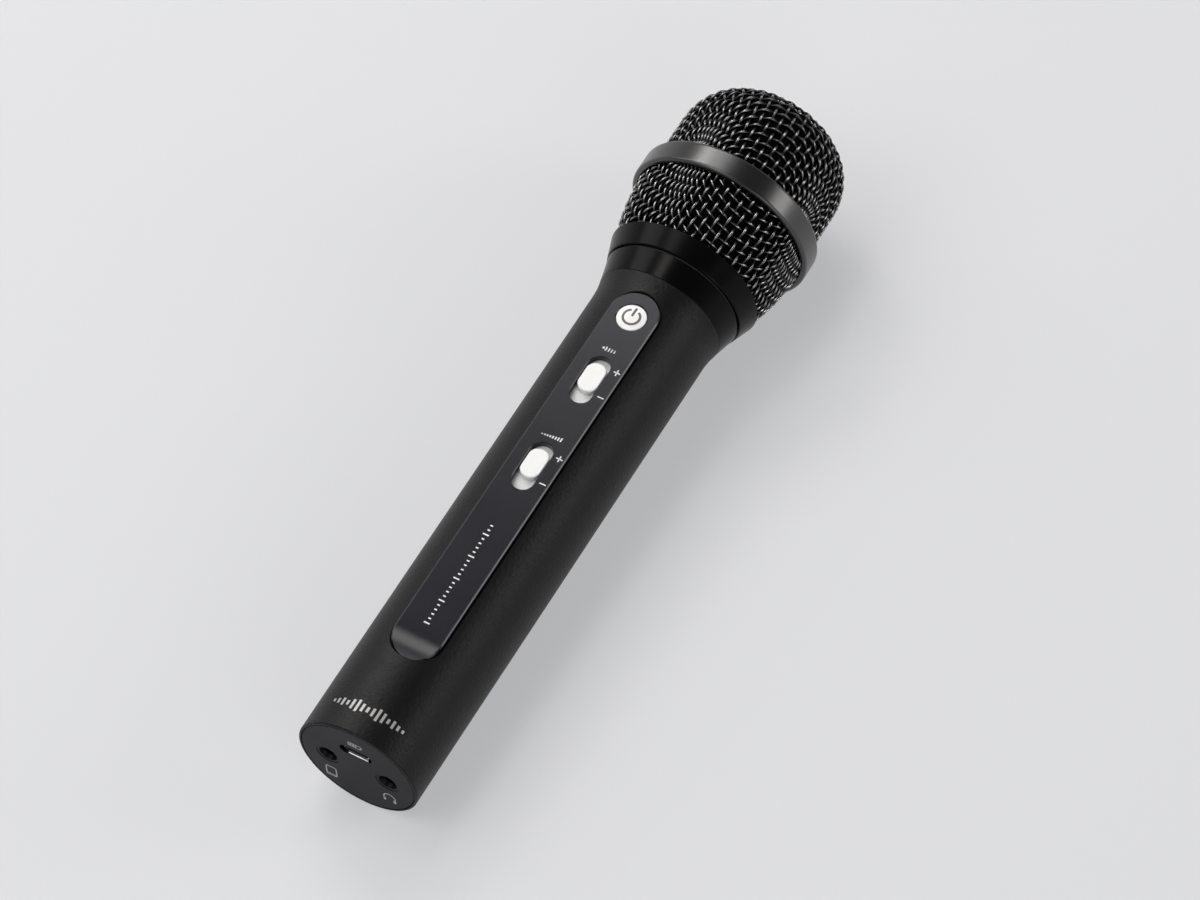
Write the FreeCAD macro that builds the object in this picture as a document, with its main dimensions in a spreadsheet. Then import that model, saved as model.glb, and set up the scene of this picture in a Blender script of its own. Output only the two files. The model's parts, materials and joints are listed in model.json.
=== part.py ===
"""Hand-held karaoke microphone as a parametric FreeCAD document, in millimetres.

Frame: +X runs along the handle from the tail plate to the head, +Z points out through the control
panel and +Y to the panel's left. The origin is the centre of the tail plate's outer face.
Each sub-part is one object of the document, named by its Label and written to parts/LABEL.step.
"""
import FreeCAD, Part
import Sketcher
import itertools
import math
import os

SIZES = {
    # Barrel: a straight tube that flares at the seam with the neck ring
    "barrel_radius": 17.6,
    "barrel_wall": 1.8,
    "barrel_length": 156.8,
    "flare_length": 6.0,
    "seam_radius": 18.4,
    "rim_width": 0.7,
    "rim_round": 0.45,
    "edge_break": 0.25,
    # Snap beads that hold the tail plate and the neck ring in the barrel
    "snap_setback": 3.0,
    "snap_width": 1.2,
    "snap_depth": 0.3,
    # Clearances
    "fit_clearance": 0.1,
    "running_clearance": 0.08,
    "soft_clearance": 0.3,
    "chassis_clearance": 0.3,
    "solder_gap": 0.05,
    # Tail plate and its openings
    "plate_thickness": 1.6,
    "skirt_length": 4.8,
    "skirt_wall": 1.5,
    "jack_spacing": 17.7,
    "jack_drop": 0.4,
    "usb_rise": 7.0,
    "usb_slot_width": 9.4,
    "usb_slot_height": 3.4,
    "usb_slot_corner": 1.53,
    # Headphone-size sockets
    "jack_nose_radius": 3.45,
    "jack_mouth_radius": 2.65,
    "jack_bore_radius": 1.8,
    "jack_mouth_depth": 1.3,
    "jack_bore_length": 12.7,
    "jack_width": 6.2,
    "jack_under": 3.5,
    "jack_back": 1.0,
    "jack_recess": 0.1,
    "sleeve_length": 2.5,
    "sleeve_wall": 0.4,
    "contact_thickness": 0.3,
    "contact_width": 1.6,
    "contact_pitch": 3.4,
    # Charging receptacle
    "usb_width": 7.6,
    "usb_height": 2.7,
    "usb_wall": 0.3,
    "usb_depth": 5.6,
    "usb_recess": 0.7,
    "usb_corner": 0.8,
    "tongue_width": 3.8,
    "tongue_height": 0.7,
    "tongue_setback": 0.6,
    "tongue_base": 0.9,
    # Control panel
    "panel_tail": 25.8,
    "panel_setback": 5.4,
    "panel_width": 14.0,
    "panel_top": 17.3,
    "panel_thickness": 2.1,
    "panel_gap": 0.18,
    "panel_bevel": 0.35,
    "panel_ledge": 0.95,
    "roll_length": 8.0,
    "roll_radius": 24.0,
    # Slider slots and knobs
    "slot_length": 15.7,
    "slot_width": 6.3,
    "slot_bevel": 0.15,
    "echo_setback": 30.25,
    "slider_spacing": 30.25,
    "echo_setting": 1.05,
    "volume_setting": 1.2,
    "knob_length": 9.4,
    "knob_width": 5.9,
    "knob_corner": 2.8,
    "knob_sink": 0.2,
    "knob_round": 0.5,
    "apron_width": 10.0,
    "apron_thickness": 0.8,
    "slide_clearance": 0.12,
    "socket_height": 1.8,
    "socket_wall": 1.2,
    # Slide potentiometers under the knobs
    "lever_length": 2.4,
    "lever_width": 1.2,
    "pot_length": 20.0,
    "pot_width": 7.0,
    "pot_height": 3.6,
    "pot_wall": 0.4,
    "pot_base": 1.0,
    "carriage_length": 5.0,
    "carriage_height": 2.2,
    # Power button and its switch
    "button_setback": 8.2,
    "button_radius": 4.1,
    "button_gap": 0.16,
    "button_crown": 0.35,
    "button_round": 0.3,
    "button_flange": 0.8,
    "button_flange_thickness": 1.0,
    "stem_radius": 1.6,
    "press_travel": 0.5,
    "switch_width": 6.0,
    "switch_height": 3.5,
    "plunger_radius": 1.7,
    "plunger_rise": 1.5,
    "plunger_depth": 0.9,
    # Neck ring with the thread that takes the head
    "collar_length": 7.0,
    "collar_radius": 20.0,
    "spigot_length": 4.8,
    "spigot_wall": 1.9,
    "web_thickness": 2.0,
    "web_hole": 4.5,
    "thread_radius": 17.5,
    "thread_depth": 0.5,
    "thread_pitch": 1.0,
    "thread_flank": 0.4,
    "thread_crest": 0.1,
    "thread_wall": 2.0,
    "thread_lead": 0.4,
    "gasket_thickness": 0.5,
    "gasket_width": 1.9,
    # Head ring, grilles and band
    "ring_length": 6.2,
    "ring_low_radius": 20.5,
    "ring_high_radius": 22.45,
    "ring_lip": 0.55,
    "rim_seat": 1.4,
    "grille_wall": 1.1,
    "mesh_pitch": 6.7,
    "mesh_bar": 1.7,
    "basket_inset": 1.45,
    "basket_length": 21.7,
    "rib_thickness": 1.0,
    "rib_depth": 1.9,
    "band_radius": 26.8,
    "band_length": 7.2,
    "band_below": 3.1,
    "band_round": 0.9,
    "band_lip": 1.0,
    "dome_inset": 2.3,
    "dome_wall_length": 18.3,
    "dome_shoulder": 15.5,
    "dome_crown": 60.0,
    "foam_thickness": 3.6,
    # Capsule and what carries it
    "post_flange_radius": 8.0,
    "post_flange_thickness": 1.8,
    "post_radius": 5.0,
    "post_wall": 1.3,
    "post_length": 29.2,
    "cup_floor": 1.2,
    "cup_wall": 1.0,
    "cup_depth": 8.0,
    "cradle_wall": 1.25,
    "cradle_lip": 1.0,
    "cradle_stand": 0.9,
    "capsule_radius": 7.0,
    "capsule_length": 8.6,
    "felt_thickness": 0.5,
    "felt_inset": 0.5,
    "capsule_board_thickness": 0.8,
    "cable_radius": 1.1,
    "cable_bend": 6.0,
    "cable_entry": 4.0,
    # Chassis
    "chassis_wall": 1.5,
    "boss_radius": 2.2,
    "boss_spread": 10.5,
    "rib_width": 1.5,
    "rib_setback": 3.0,
    "lug_spread": 9.5,
    "lug_drop": 4.5,
    "lug_rib": 3.5,
    # Boards
    "board_thickness": 1.0,
    "board_overhang": 0.8,
    "main_board_reach": 16.9,
    "main_board_gap": 1.0,
    "io_board_tail": 2.1,
    "io_board_head": 27.0,
    "io_board_neck": 12.4,
    "io_boss_setback": 7.0,
    "main_boss_setback": 4.0,
    # Fasteners
    "screw_radius": 0.95,
    "screw_hole": 1.0,
    "screw_head_radius": 1.8,
    "screw_head_height": 1.1,
    "screw_length": 6.0,
    "post_screw_radius": 0.75,
    "post_screw_head": 1.3,
    "post_screw_circle": 6.5,
    "post_screw_length": 3.4,
    # Cell and wiring
    "cell_radius": 7.0,
    "cell_length": 50.0,
    "cell_tail": 33.0,
    "cell_nub_radius": 2.8,
    "cell_nub_length": 0.9,
    "cell_board_thickness": 1.2,
    "wire_radius": 0.6,
    "wire_spread": 2.0,
    "wire_bend": 3.0,
    "ribbon_width": 10.0,
    "ribbon_thickness": 0.3,
    "ribbon_overlap": 5.0,
    "clip_length": 3.0,
    "clip_height": 1.2,
    "plug_height": 3.0,
    "plug_length": 4.5,
    "plug_width": 6.4,
    # Parts soldered on the boards
    "chip_width": 7.0,
    "chip_height": 1.2,
    "amp_length": 5.0,
    "amp_width": 4.0,
    "amp_height": 1.5,
    "charger_width": 4.0,
    "charger_height": 1.0,
    "charger_setback": 8.0,
    "can_radius": 2.0,
    "can_height": 4.5,
    "can_spread": 8.0,
    "bead_length": 1.6,
    "bead_width": 0.8,
    "bead_height": 0.6,
    "bead_pitch": 3.2,
    "led_length": 2.4,
    "led_width": 1.6,
    "led_height": 1.0,
}

POST_SCREWS = 3
SOCKET_CONTACTS = 3
BEADS_IN_ROW = 5
WINDOWS_ROUND = 22
DOME_WALL_ROWS = 2
DOME_SHOULDER_ROWS = 2
BASKET_ROWS = 3
TOLERANCE = 0.01
MOSTLY_UP = 0.9

doc = FreeCAD.newDocument("Microphone")
sheet = doc.addObject("Spreadsheet::Sheet", "Sizes")


class Dim:
    """A length that carries its number and the sheet expression that gives it."""

    def __init__(self, value, text):
        self.value = value
        self.text = text

    def __add__(self, other):
        other = dim(other)
        return Dim(self.value + other.value, f"({self.text} + {other.text})")

    def __sub__(self, other):
        other = dim(other)
        return Dim(self.value - other.value, f"({self.text} - {other.text})")

    def __mul__(self, other):
        other = dim(other)
        return Dim(self.value * other.value, f"({self.text} * {other.text})")

    def __truediv__(self, other):
        other = dim(other)
        return Dim(self.value / other.value, f"({self.text} / {other.text})")

    def __rsub__(self, other):
        return dim(other) - self

    def __neg__(self):
        return Dim(-self.value, f"(-{self.text})")

    __radd__ = __add__
    __rmul__ = __mul__


def dim(value):
    """Give a plain number as a Dim; a Dim stays as it is."""
    return value if isinstance(value, Dim) else Dim(float(value), f"({float(value)})")


def leg(hypotenuse, side):
    """Give the other leg of a right triangle."""
    value = math.sqrt(hypotenuse.value ** 2 - side.value ** 2)
    return Dim(value, f"sqrt({hypotenuse.text}^2 - {side.text}^2)")


def is_zero(value):
    """Tell whether a coordinate is a plain zero rather than a size."""
    return not isinstance(value, Dim) and value == 0


class Sizes:
    """The sheet's named cells, each as a Dim."""

    def __init__(self, table):
        for row, (name, number) in enumerate(table.items(), start=1):
            sheet.set(f"A{row}", name)
            sheet.set(f"B{row}", str(number))
            sheet.setAlias(f"B{row}", name)
            setattr(self, name, Dim(float(number), f"Sizes.{name}"))


S = Sizes(SIZES)
doc.recompute()
subparts = []


# ---------------------------------------------------------------- document helpers

def bind(item, prop, value):
    """Tie a property to the sheet."""
    item.setExpression(prop, dim(value).text)


def place(item, x=0, y=0, z=0):
    """Put an object at a point whose coordinates follow the sheet."""
    for axis, value in zip("xyz", (x, y, z)):
        if not is_zero(value):
            bind(item, f"Placement.Base.{axis}", value)


def subpart(item, name):
    """Name an object as a finished piece."""
    item.Label = name
    subparts.append(item)
    return item


def new_body(name):
    """Start a PartDesign body."""
    body = doc.addObject("PartDesign::Body", f"body_{name}")
    return subpart(body, name)


def new_sketch(body, plane, offset=0):
    """Start a sketch on one of the body's own origin planes, moved out along its normal."""
    sketch = body.newObject("Sketcher::SketchObject", "sketch")
    support = [item for item in body.Origin.OriginFeatures if item.Role == plane]
    sketch.AttachmentSupport = [(support[0], "")]
    sketch.MapMode = "FlatFace"
    if not is_zero(offset):
        bind(sketch, "AttachmentOffset.Base.z", offset)
    return sketch


def pin_point(sketch, edge, end, x, y):
    """Hold one point of a sketch edge at (x, y)."""
    for kind, value, line in (("DistanceX", x, -2), ("DistanceY", y, -1)):
        if is_zero(value):
            sketch.addConstraint(Sketcher.Constraint("PointOnObject", edge, end, line))
        else:
            index = sketch.addConstraint(
                Sketcher.Constraint(kind, -1, 1, edge, end, value.value))
            bind(sketch, f"Constraints[{index}]", value)


def number(value):
    """Give a coordinate's plain number."""
    return dim(value).value


def arc_between(start, end, radius):
    """Make the short arc from start to end, turning left for a positive radius."""
    (x0, y0), (x1, y1) = start, end
    chord = math.hypot(x1 - x0, y1 - y0)
    rise = math.sqrt(max(radius * radius - chord * chord / 4, 0))
    side = 1 if radius > 0 else -1
    center_x = (x0 + x1) / 2 - side * rise * (y1 - y0) / chord
    center_y = (y0 + y1) / 2 + side * rise * (x1 - x0) / chord
    circle = Part.Circle(FreeCAD.Vector(center_x, center_y, 0), FreeCAD.Vector(0, 0, 1), abs(radius))
    first = math.atan2(y0 - center_y, x0 - center_x)
    last = math.atan2(y1 - center_y, x1 - center_x)
    if side < 0:
        first, last = last, first
    if last <= first:
        last += 2 * math.pi
    return Part.ArcOfCircle(circle, first, last)


def outline(sketch, corners):
    """Draw a closed outline. A corner is (x, y), or (x, y, radius) where an arc leads to it."""
    ends = []
    for index, corner in enumerate(corners):
        before = corners[index - 1]
        start = (number(before[0]), number(before[1]))
        end = (number(corner[0]), number(corner[1]))
        if len(corner) == 3:
            radius = corner[2]
            edge = sketch.addGeometry(arc_between(start, end, radius.value))
            size = -radius if radius.value < 0 else radius
            rule = sketch.addConstraint(Sketcher.Constraint("Radius", edge, size.value))
            bind(sketch, f"Constraints[{rule}]", size)
            ends.append((edge, 1, 2) if radius.value > 0 else (edge, 2, 1))
        else:
            line = Part.LineSegment(FreeCAD.Vector(*start, 0), FreeCAD.Vector(*end, 0))
            edge = sketch.addGeometry(line)
            ends.append((edge, 1, 2))
        pin_point(sketch, ends[-1][0], ends[-1][2], corner[0], corner[1])
    for index, (edge, start, _) in enumerate(ends):
        last_edge, _, last_end = ends[index - 1]
        sketch.addConstraint(Sketcher.Constraint("Coincident", last_edge, last_end, edge, start))


def circle(sketch, x, y, radius):
    """Draw a circle in a sketch."""
    center = FreeCAD.Vector(number(x), number(y), 0)
    edge = sketch.addGeometry(Part.Circle(center, FreeCAD.Vector(0, 0, 1), radius.value))
    rule = sketch.addConstraint(Sketcher.Constraint("Radius", edge, radius.value))
    bind(sketch, f"Constraints[{rule}]", radius)
    pin_point(sketch, edge, 3, x, y)


def rounded_box(sketch, x0, x1, y0, y1, corner):
    """Draw a rectangle with round corners."""
    outline(sketch, [
        (x0 + corner, y0, corner), (x1 - corner, y0), (x1, y0 + corner, corner), (x1, y1 - corner),
        (x1 - corner, y1, corner), (x0 + corner, y1), (x0, y1 - corner, corner),
        (x0, y0 + corner)])


def stadium(sketch, x0, x1, half):
    """Draw a slot along the sketch's x axis with round ends."""
    outline(sketch, [
        (x0 + half, -half, half), (x1 - half, -half), (x1, 0, half), (x1 - half, half, half),
        (x0 + half, half), (x0, 0, half)])


def revolve(body, sketch, axis="H_Axis"):
    """Turn a sketch into a solid of revolution."""
    feature = body.newObject("PartDesign::Revolution", "turning")
    feature.Profile = (sketch, [""])
    feature.ReferenceAxis = (sketch, [axis])
    feature.Angle = 360
    return feature


def pad(body, sketch, length, downward=False):
    """Extrude a sketch along its normal, or against it."""
    feature = body.newObject("PartDesign::Pad", "pad")
    feature.Profile = (sketch, [""])
    bind(feature, "Length", length)
    feature.Reversed = downward
    return feature


def pocket(body, sketch, depth=None, along_normal=True):
    """Cut a sketch out of the body, right through when no depth is given."""
    feature = body.newObject("PartDesign::Pocket", "pocket")
    feature.Profile = (sketch, [""])
    feature.Reversed = along_normal
    if depth is None:
        feature.Type = "ThroughAll"
    else:
        bind(feature, "Length", depth)
    return feature


def repeat_round(body, feature, count):
    """Repeat a cut evenly round the X axis."""
    axis = [item for item in body.Origin.OriginFeatures if item.Role == "X_Axis"]
    pattern = body.newObject("PartDesign::PolarPattern", "ring")
    pattern.Originals = [feature]
    pattern.Axis = (axis[0], [""])
    pattern.Angle = 360
    pattern.Occurrences = count
    body.Tip = pattern
    return pattern


def dress(body, kind, prop, size, choose):
    """Add a Fillet or Chamfer on the edges of the body's tip that choose() picks."""
    doc.recompute()
    tip = body.Tip
    names = [f"Edge{i}" for i, edge in enumerate(tip.Shape.Edges, start=1) if choose(tip.Shape, edge)]
    feature = body.newObject(f"PartDesign::{kind}", kind.lower())
    feature.Base = (tip, names)
    bind(feature, prop, size)
    return feature


def turned(name, corners):
    """Make a piece that is turned about the X axis from (x, radius) corners."""
    body = new_body(name)
    sketch = new_sketch(body, "XY_Plane")
    outline(sketch, corners)
    revolve(body, sketch)
    return body


def box(x0, x1, y0, y1, z0, z1):
    """Make a box between two corners."""
    item = doc.addObject("Part::Box", "box")
    for prop, low, high in (("Length", x0, x1), ("Width", y0, y1), ("Height", z0, z1)):
        bind(item, prop, dim(high) - low)
    place(item, x0, y0, z0)
    return item


def rod(radius, low, high, along, across=(0, 0)):
    """Make a cylinder along X or Z; across gives its other two coordinates in axis order."""
    item = doc.addObject("Part::Cylinder", "rod")
    bind(item, "Radius", radius)
    bind(item, "Height", dim(high) - low)
    if along == "x":
        item.Placement.Rotation = FreeCAD.Rotation(FreeCAD.Vector(0, 1, 0), 90)
        place(item, low, across[0], across[1])
    else:
        place(item, across[0], across[1], low)
    return item


def cut(base, *tools):
    """Take tools away from a base."""
    item = doc.addObject("Part::Cut", "cut")
    item.Base = base
    item.Tool = tools[0] if len(tools) == 1 else fuse(*tools)
    return item


def fuse(*shapes):
    """Join shapes into one solid."""
    item = doc.addObject("Part::MultiFuse", "fuse")
    item.Shapes = list(shapes)
    return item


def common(*shapes):
    """Keep what shapes share."""
    item = doc.addObject("Part::MultiCommon", "common")
    item.Shapes = list(shapes)
    return item


def group(name, pieces):
    """Make one sub-part of several separate solids."""
    item = doc.addObject("Part::Compound", "group")
    item.Links = list(pieces)
    return subpart(item, name)


def tube_along(points, radius, bend):
    """Sweep a round section along straight runs joined by tangent arcs of one bend radius."""
    path = []
    here = points[0]
    for before, corner, after in zip(points, points[1:], points[2:]):
        back = (before - corner).normalize()
        ahead = (after - corner).normalize()
        half_turn = (math.pi - back.getAngle(ahead)) / 2
        reach = bend * math.tan(half_turn)
        arc_start = corner + back * reach
        arc_end = corner + ahead * reach
        bisector = (back + ahead).normalize()
        center = corner + bisector * (bend / math.cos(half_turn))
        middle = center - bisector * bend
        path.append(Part.LineSegment(here, arc_start).toShape())
        path.append(Part.Arc(arc_start, middle, arc_end).toShape())
        here = arc_end
    path.append(Part.LineSegment(here, points[-1]).toShape())
    wire = Part.Wire(path)
    section = Part.Wire(Part.makeCircle(radius, points[0], points[1] - points[0]))
    return wire.makePipeShell([section], True, True)


def shaped(name, shape):
    """Make a sub-part whose shape is built in code from the sheet's values."""
    item = doc.addObject("Part::Feature", name)
    item.Shape = shape
    return subpart(item, name)


def vector(x, y, z):
    """Make a point from coordinates or sizes."""
    return FreeCAD.Vector(number(x), number(y), number(z))


# ---------------------------------------------------------------- stations shared by the pieces

bore = S.barrel_radius - S.barrel_wall
plate_seat = S.barrel_radius - S.rim_width
nested = bore - S.fit_clearance
panel_head = S.barrel_length - S.panel_setback
button_center = panel_head - S.button_setback
echo_center = panel_head - S.echo_setback
volume_center = echo_center - S.slider_spacing
panel_bottom = S.panel_top - S.panel_thickness
board_top = S.usb_rise - S.usb_height / 2 - S.solder_gap
board_bottom = board_top - S.board_thickness
stem_bottom = board_top + S.switch_height + S.plunger_rise
chassis_radius = bore - S.chassis_clearance
trough_radius = chassis_radius - S.chassis_wall
chassis_tail = S.plate_thickness + S.skirt_length + S.fit_clearance
chassis_head = S.barrel_length - S.spigot_length - S.fit_clearance
board_half = leg(trough_radius, board_bottom) + S.board_overhang
main_board_tail = volume_center - S.main_board_reach
main_board_head = chassis_head - S.main_board_gap
web_top = S.barrel_length + S.web_thickness
collar_top = S.barrel_length + S.collar_length
ring_bottom = collar_top + S.gasket_thickness
ring_top = ring_bottom + S.ring_length
rib_bottom = ring_top + S.basket_length
rib_top = rib_bottom + S.rib_thickness
band_bottom = rib_bottom - S.band_below
band_top = band_bottom + S.band_length
dome_spring = rib_top + S.dome_wall_length
basket_radius = S.band_radius - S.basket_inset
basket_rise = basket_radius - S.ring_high_radius + S.ring_lip
basket_bulge = (S.basket_length * S.basket_length + basket_rise * basket_rise) / (basket_rise * 2)
dome_radius = S.band_radius - S.dome_inset
cup_bottom = web_top + S.post_length
cup_inside = cup_bottom + S.cup_floor
capsule_back = cup_inside + S.cradle_lip
apron_top = panel_bottom - S.slide_clearance
apron_bottom = apron_top - S.apron_thickness
knob_travel = (S.slot_length - S.knob_length) / 2
cell_drop = trough_radius - S.cell_radius - S.soft_clearance


def basket_at(x, inset):
    """Give the lower basket's radius at x, inset from its outer face; it is widest at the rib."""
    bulge = basket_bulge - inset
    return basket_radius - basket_bulge + leg(bulge, dim(x) - rib_bottom)


def dome_from(x, inset, forward=True):
    """Give corners of the dome's outline from x to the axis, or back, inset from its outer face."""
    side = dome_radius - S.dome_shoulder
    run = S.dome_crown - S.dome_shoulder
    center = dome_spring - leg(run, side)
    crown = S.dome_crown - inset
    shoulder = S.dome_shoulder - inset
    join_x = center + crown * (dome_spring - center) / run
    join_y = crown * side / run
    wall = dome_radius - inset
    if forward:
        return [(x, wall), (dome_spring, wall), (join_x, join_y, -shoulder), (center + crown, 0, -crown)]
    return [(center + crown, 0), (join_x, join_y, crown), (dome_spring, wall, shoulder), (x, wall)]


# ---------------------------------------------------------------- handle

def make_barrel():
    """Tube with a seat for the tail plate, snap grooves and the panel's stepped recess."""
    rise = S.seam_radius - S.barrel_radius
    flare = (S.flare_length * S.flare_length + rise * rise) / (rise * 2)
    half_snap = S.snap_width / 2
    tail_snap = S.plate_thickness + S.snap_setback
    neck_snap = S.barrel_length - S.snap_setback
    groove = bore + S.snap_depth
    body = turned("barrel", [
        (S.plate_thickness, bore), (S.plate_thickness, plate_seat), (0, plate_seat),
        (0, S.barrel_radius - S.rim_round), (S.rim_round, S.barrel_radius, -S.rim_round),
        (S.barrel_length - S.flare_length, S.barrel_radius), (S.barrel_length, S.seam_radius, flare),
        (S.barrel_length, bore),
        (neck_snap + half_snap, bore), (neck_snap + half_snap, groove),
        (neck_snap - half_snap, groove), (neck_snap - half_snap, bore),
        (tail_snap + half_snap, bore), (tail_snap + half_snap, groove),
        (tail_snap - half_snap, groove), (tail_snap - half_snap, bore)])
    seat = new_sketch(body, "XY_Plane", panel_bottom)
    stadium(seat, S.panel_tail - S.panel_gap, panel_head + S.panel_gap, S.panel_width / 2 + S.panel_gap)
    pocket(body, seat)
    window = new_sketch(body, "XY_Plane")
    stadium(window, S.panel_tail + S.panel_ledge, panel_head - S.panel_ledge,
            S.panel_width / 2 - S.panel_ledge)
    pocket(body, window)
    outer = S.barrel_radius.value
    dress(body, "Chamfer", "Size", S.edge_break, lambda shape, edge: on_recess_rim(edge, outer))


def on_recess_rim(edge, outer):
    """Tell whether an edge is where the panel recess meets the barrel's outer face."""
    first, last = edge.Vertexes[0].Point, edge.Vertexes[-1].Point
    middle = edge.valueAt((edge.FirstParameter + edge.LastParameter) / 2)
    gap = S.panel_gap.value + TOLERANCE
    inside = number(S.panel_tail) - gap < middle.x < number(panel_head) + gap
    high = all(p.z > number(panel_bottom) + TOLERANCE for p in (first, middle, last))
    return inside and high and math.hypot(middle.y, middle.z) > outer - TOLERANCE


def make_tail_plate():
    """Disc with a snap skirt, two socket holes and the charging slot."""
    skirt = S.plate_thickness + S.skirt_length
    half_bead = S.snap_width / 2 - S.fit_clearance
    snap = S.plate_thickness + S.snap_setback
    bead = bore + S.snap_depth - S.fit_clearance
    face = plate_seat - S.fit_clearance
    body = turned("tail_plate", [
        (0, 0), (0, face - S.edge_break), (S.edge_break, face), (S.plate_thickness, face),
        (S.plate_thickness, nested), (snap - half_bead, nested), (snap, bead),
        (snap + half_bead, nested), (skirt, nested), (skirt, nested - S.skirt_wall),
        (S.plate_thickness, nested - S.skirt_wall), (S.plate_thickness, 0)])
    holes = new_sketch(body, "YZ_Plane")
    for side in (-1, 1):
        circle(holes, S.jack_spacing / 2 * side, -S.jack_drop, S.jack_nose_radius + S.solder_gap)
    pocket(body, holes, S.plate_thickness)
    slot = new_sketch(body, "YZ_Plane")
    half, tall = S.usb_slot_width / 2, S.usb_slot_height / 2
    rounded_box(slot, -half, half, S.usb_rise - tall, S.usb_rise + tall, S.usb_slot_corner)
    pocket(body, slot, S.plate_thickness)


def make_control_panel():
    """Long plate with the button hole and slider slots; its tail end rolls down."""
    body = new_body("control_panel")
    plan = new_sketch(body, "XY_Plane", panel_bottom)
    stadium(plan, S.panel_tail, panel_head, S.panel_width / 2)
    pad(body, plan, S.panel_thickness)
    roll = new_sketch(body, "XZ_Plane")
    start = S.panel_tail + S.roll_length
    drop = S.roll_radius - leg(S.roll_radius, S.roll_length)
    above = S.panel_top + S.panel_thickness
    outline(roll, [(S.panel_tail, above), (S.panel_tail, S.panel_top - drop),
                   (start, S.panel_top, -S.roll_radius), (start, above)])
    rolled = pocket(body, roll)
    rolled.Midplane = True
    dress(body, "Chamfer", "Size", S.panel_bevel, on_top_rim)
    for center in (echo_center, volume_center):
        slot = new_sketch(body, "XY_Plane", panel_bottom)
        stadium(slot, center - S.slot_length / 2, center + S.slot_length / 2, S.slot_width / 2)
        pocket(body, slot)
    hole = new_sketch(body, "XY_Plane", panel_bottom)
    circle(hole, button_center, 0, S.button_radius + S.button_gap)
    pocket(body, hole)
    dress(body, "Chamfer", "Size", S.slot_bevel, on_top_hole)


def faces_up(face):
    """Tell whether a face looks mostly upward and lies near the panel's top."""
    u0, u1, v0, v1 = face.ParameterRange
    normal = face.normalAt((u0 + u1) / 2, (v0 + v1) / 2)
    return normal.z > MOSTLY_UP and face.CenterOfMass.z > number(panel_bottom) + TOLERANCE


def on_top_rim(shape, edge):
    """Tell whether an edge bounds the panel's top on one side only."""
    tops = [face for face in shape.Faces if faces_up(face)]
    owners = [face for face in tops if any(edge.isSame(other) for other in face.Edges)]
    return len(owners) == 1


def on_top_hole(shape, edge):
    """Tell whether an edge belongs to a hole in the panel's top face."""
    for face in shape.Faces:
        if faces_up(face) and len(face.Wires) > 1:
            inner = [wire for wire in face.Wires if not wire.isSame(face.OuterWire)]
            if any(edge.isSame(other) for wire in inner for other in wire.Edges):
                return True
    return False


def make_knob(name, center, setting):
    """Slider cap on an apron that fills the slot in every position, with a lever socket."""
    body = new_body(name)
    reach = knob_travel + S.slot_length / 2
    plate = new_sketch(body, "XY_Plane", apron_bottom)
    rounded_box(plate, -reach, reach, -S.apron_width / 2, S.apron_width / 2, S.knob_corner)
    pad(body, plate, S.apron_thickness)
    cap = new_sketch(body, "XY_Plane", apron_top)
    half, side = S.knob_length / 2, S.knob_width / 2
    rounded_box(cap, -half, half, -side, side, S.knob_corner)
    pad(body, cap, S.panel_top - S.knob_sink - apron_top)
    top = number(S.panel_top - S.knob_sink)
    dress(body, "Fillet", "Radius", S.knob_round,
          lambda shape, edge: all(abs(v.Point.z - top) < TOLERANCE for v in edge.Vertexes))
    socket = new_sketch(body, "XY_Plane", apron_bottom)
    long = S.lever_length / 2 + S.socket_wall
    wide = S.lever_width / 2 + S.socket_wall
    outline(socket, [(-long, -wide), (long, -wide), (long, wide), (-long, wide)])
    pad(body, socket, S.socket_height, downward=True)
    hollow = new_sketch(body, "XY_Plane", apron_bottom - S.socket_height)
    long = S.lever_length / 2 + S.solder_gap
    wide = S.lever_width / 2 + S.solder_gap
    outline(hollow, [(-long, -wide), (long, -wide), (long, wide), (-long, wide)])
    pocket(body, hollow, S.socket_height)
    place(body, center + setting)


def make_power_button():
    """Domed round button with a retaining flange and a stem down to the switch."""
    body = new_body("power_button")
    sketch = new_sketch(body, "XZ_Plane")
    flat = S.button_radius - S.button_round
    crown = (flat * flat + S.button_crown * S.button_crown) / (S.button_crown * 2)
    flange_top = panel_bottom - S.slide_clearance
    flange = S.button_radius + S.button_flange
    outline(sketch, [
        (0, stem_bottom), (S.stem_radius, stem_bottom),
        (S.stem_radius, flange_top - S.button_flange_thickness),
        (flange, flange_top - S.button_flange_thickness), (flange, flange_top),
        (S.button_radius, flange_top), (S.button_radius, S.panel_top - S.button_round),
        (flat, S.panel_top, S.button_round), (0, S.panel_top + S.button_crown, crown)])
    revolve(body, sketch, "V_Axis")
    place(body, button_center)


# ---------------------------------------------------------------- neck and head

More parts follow.
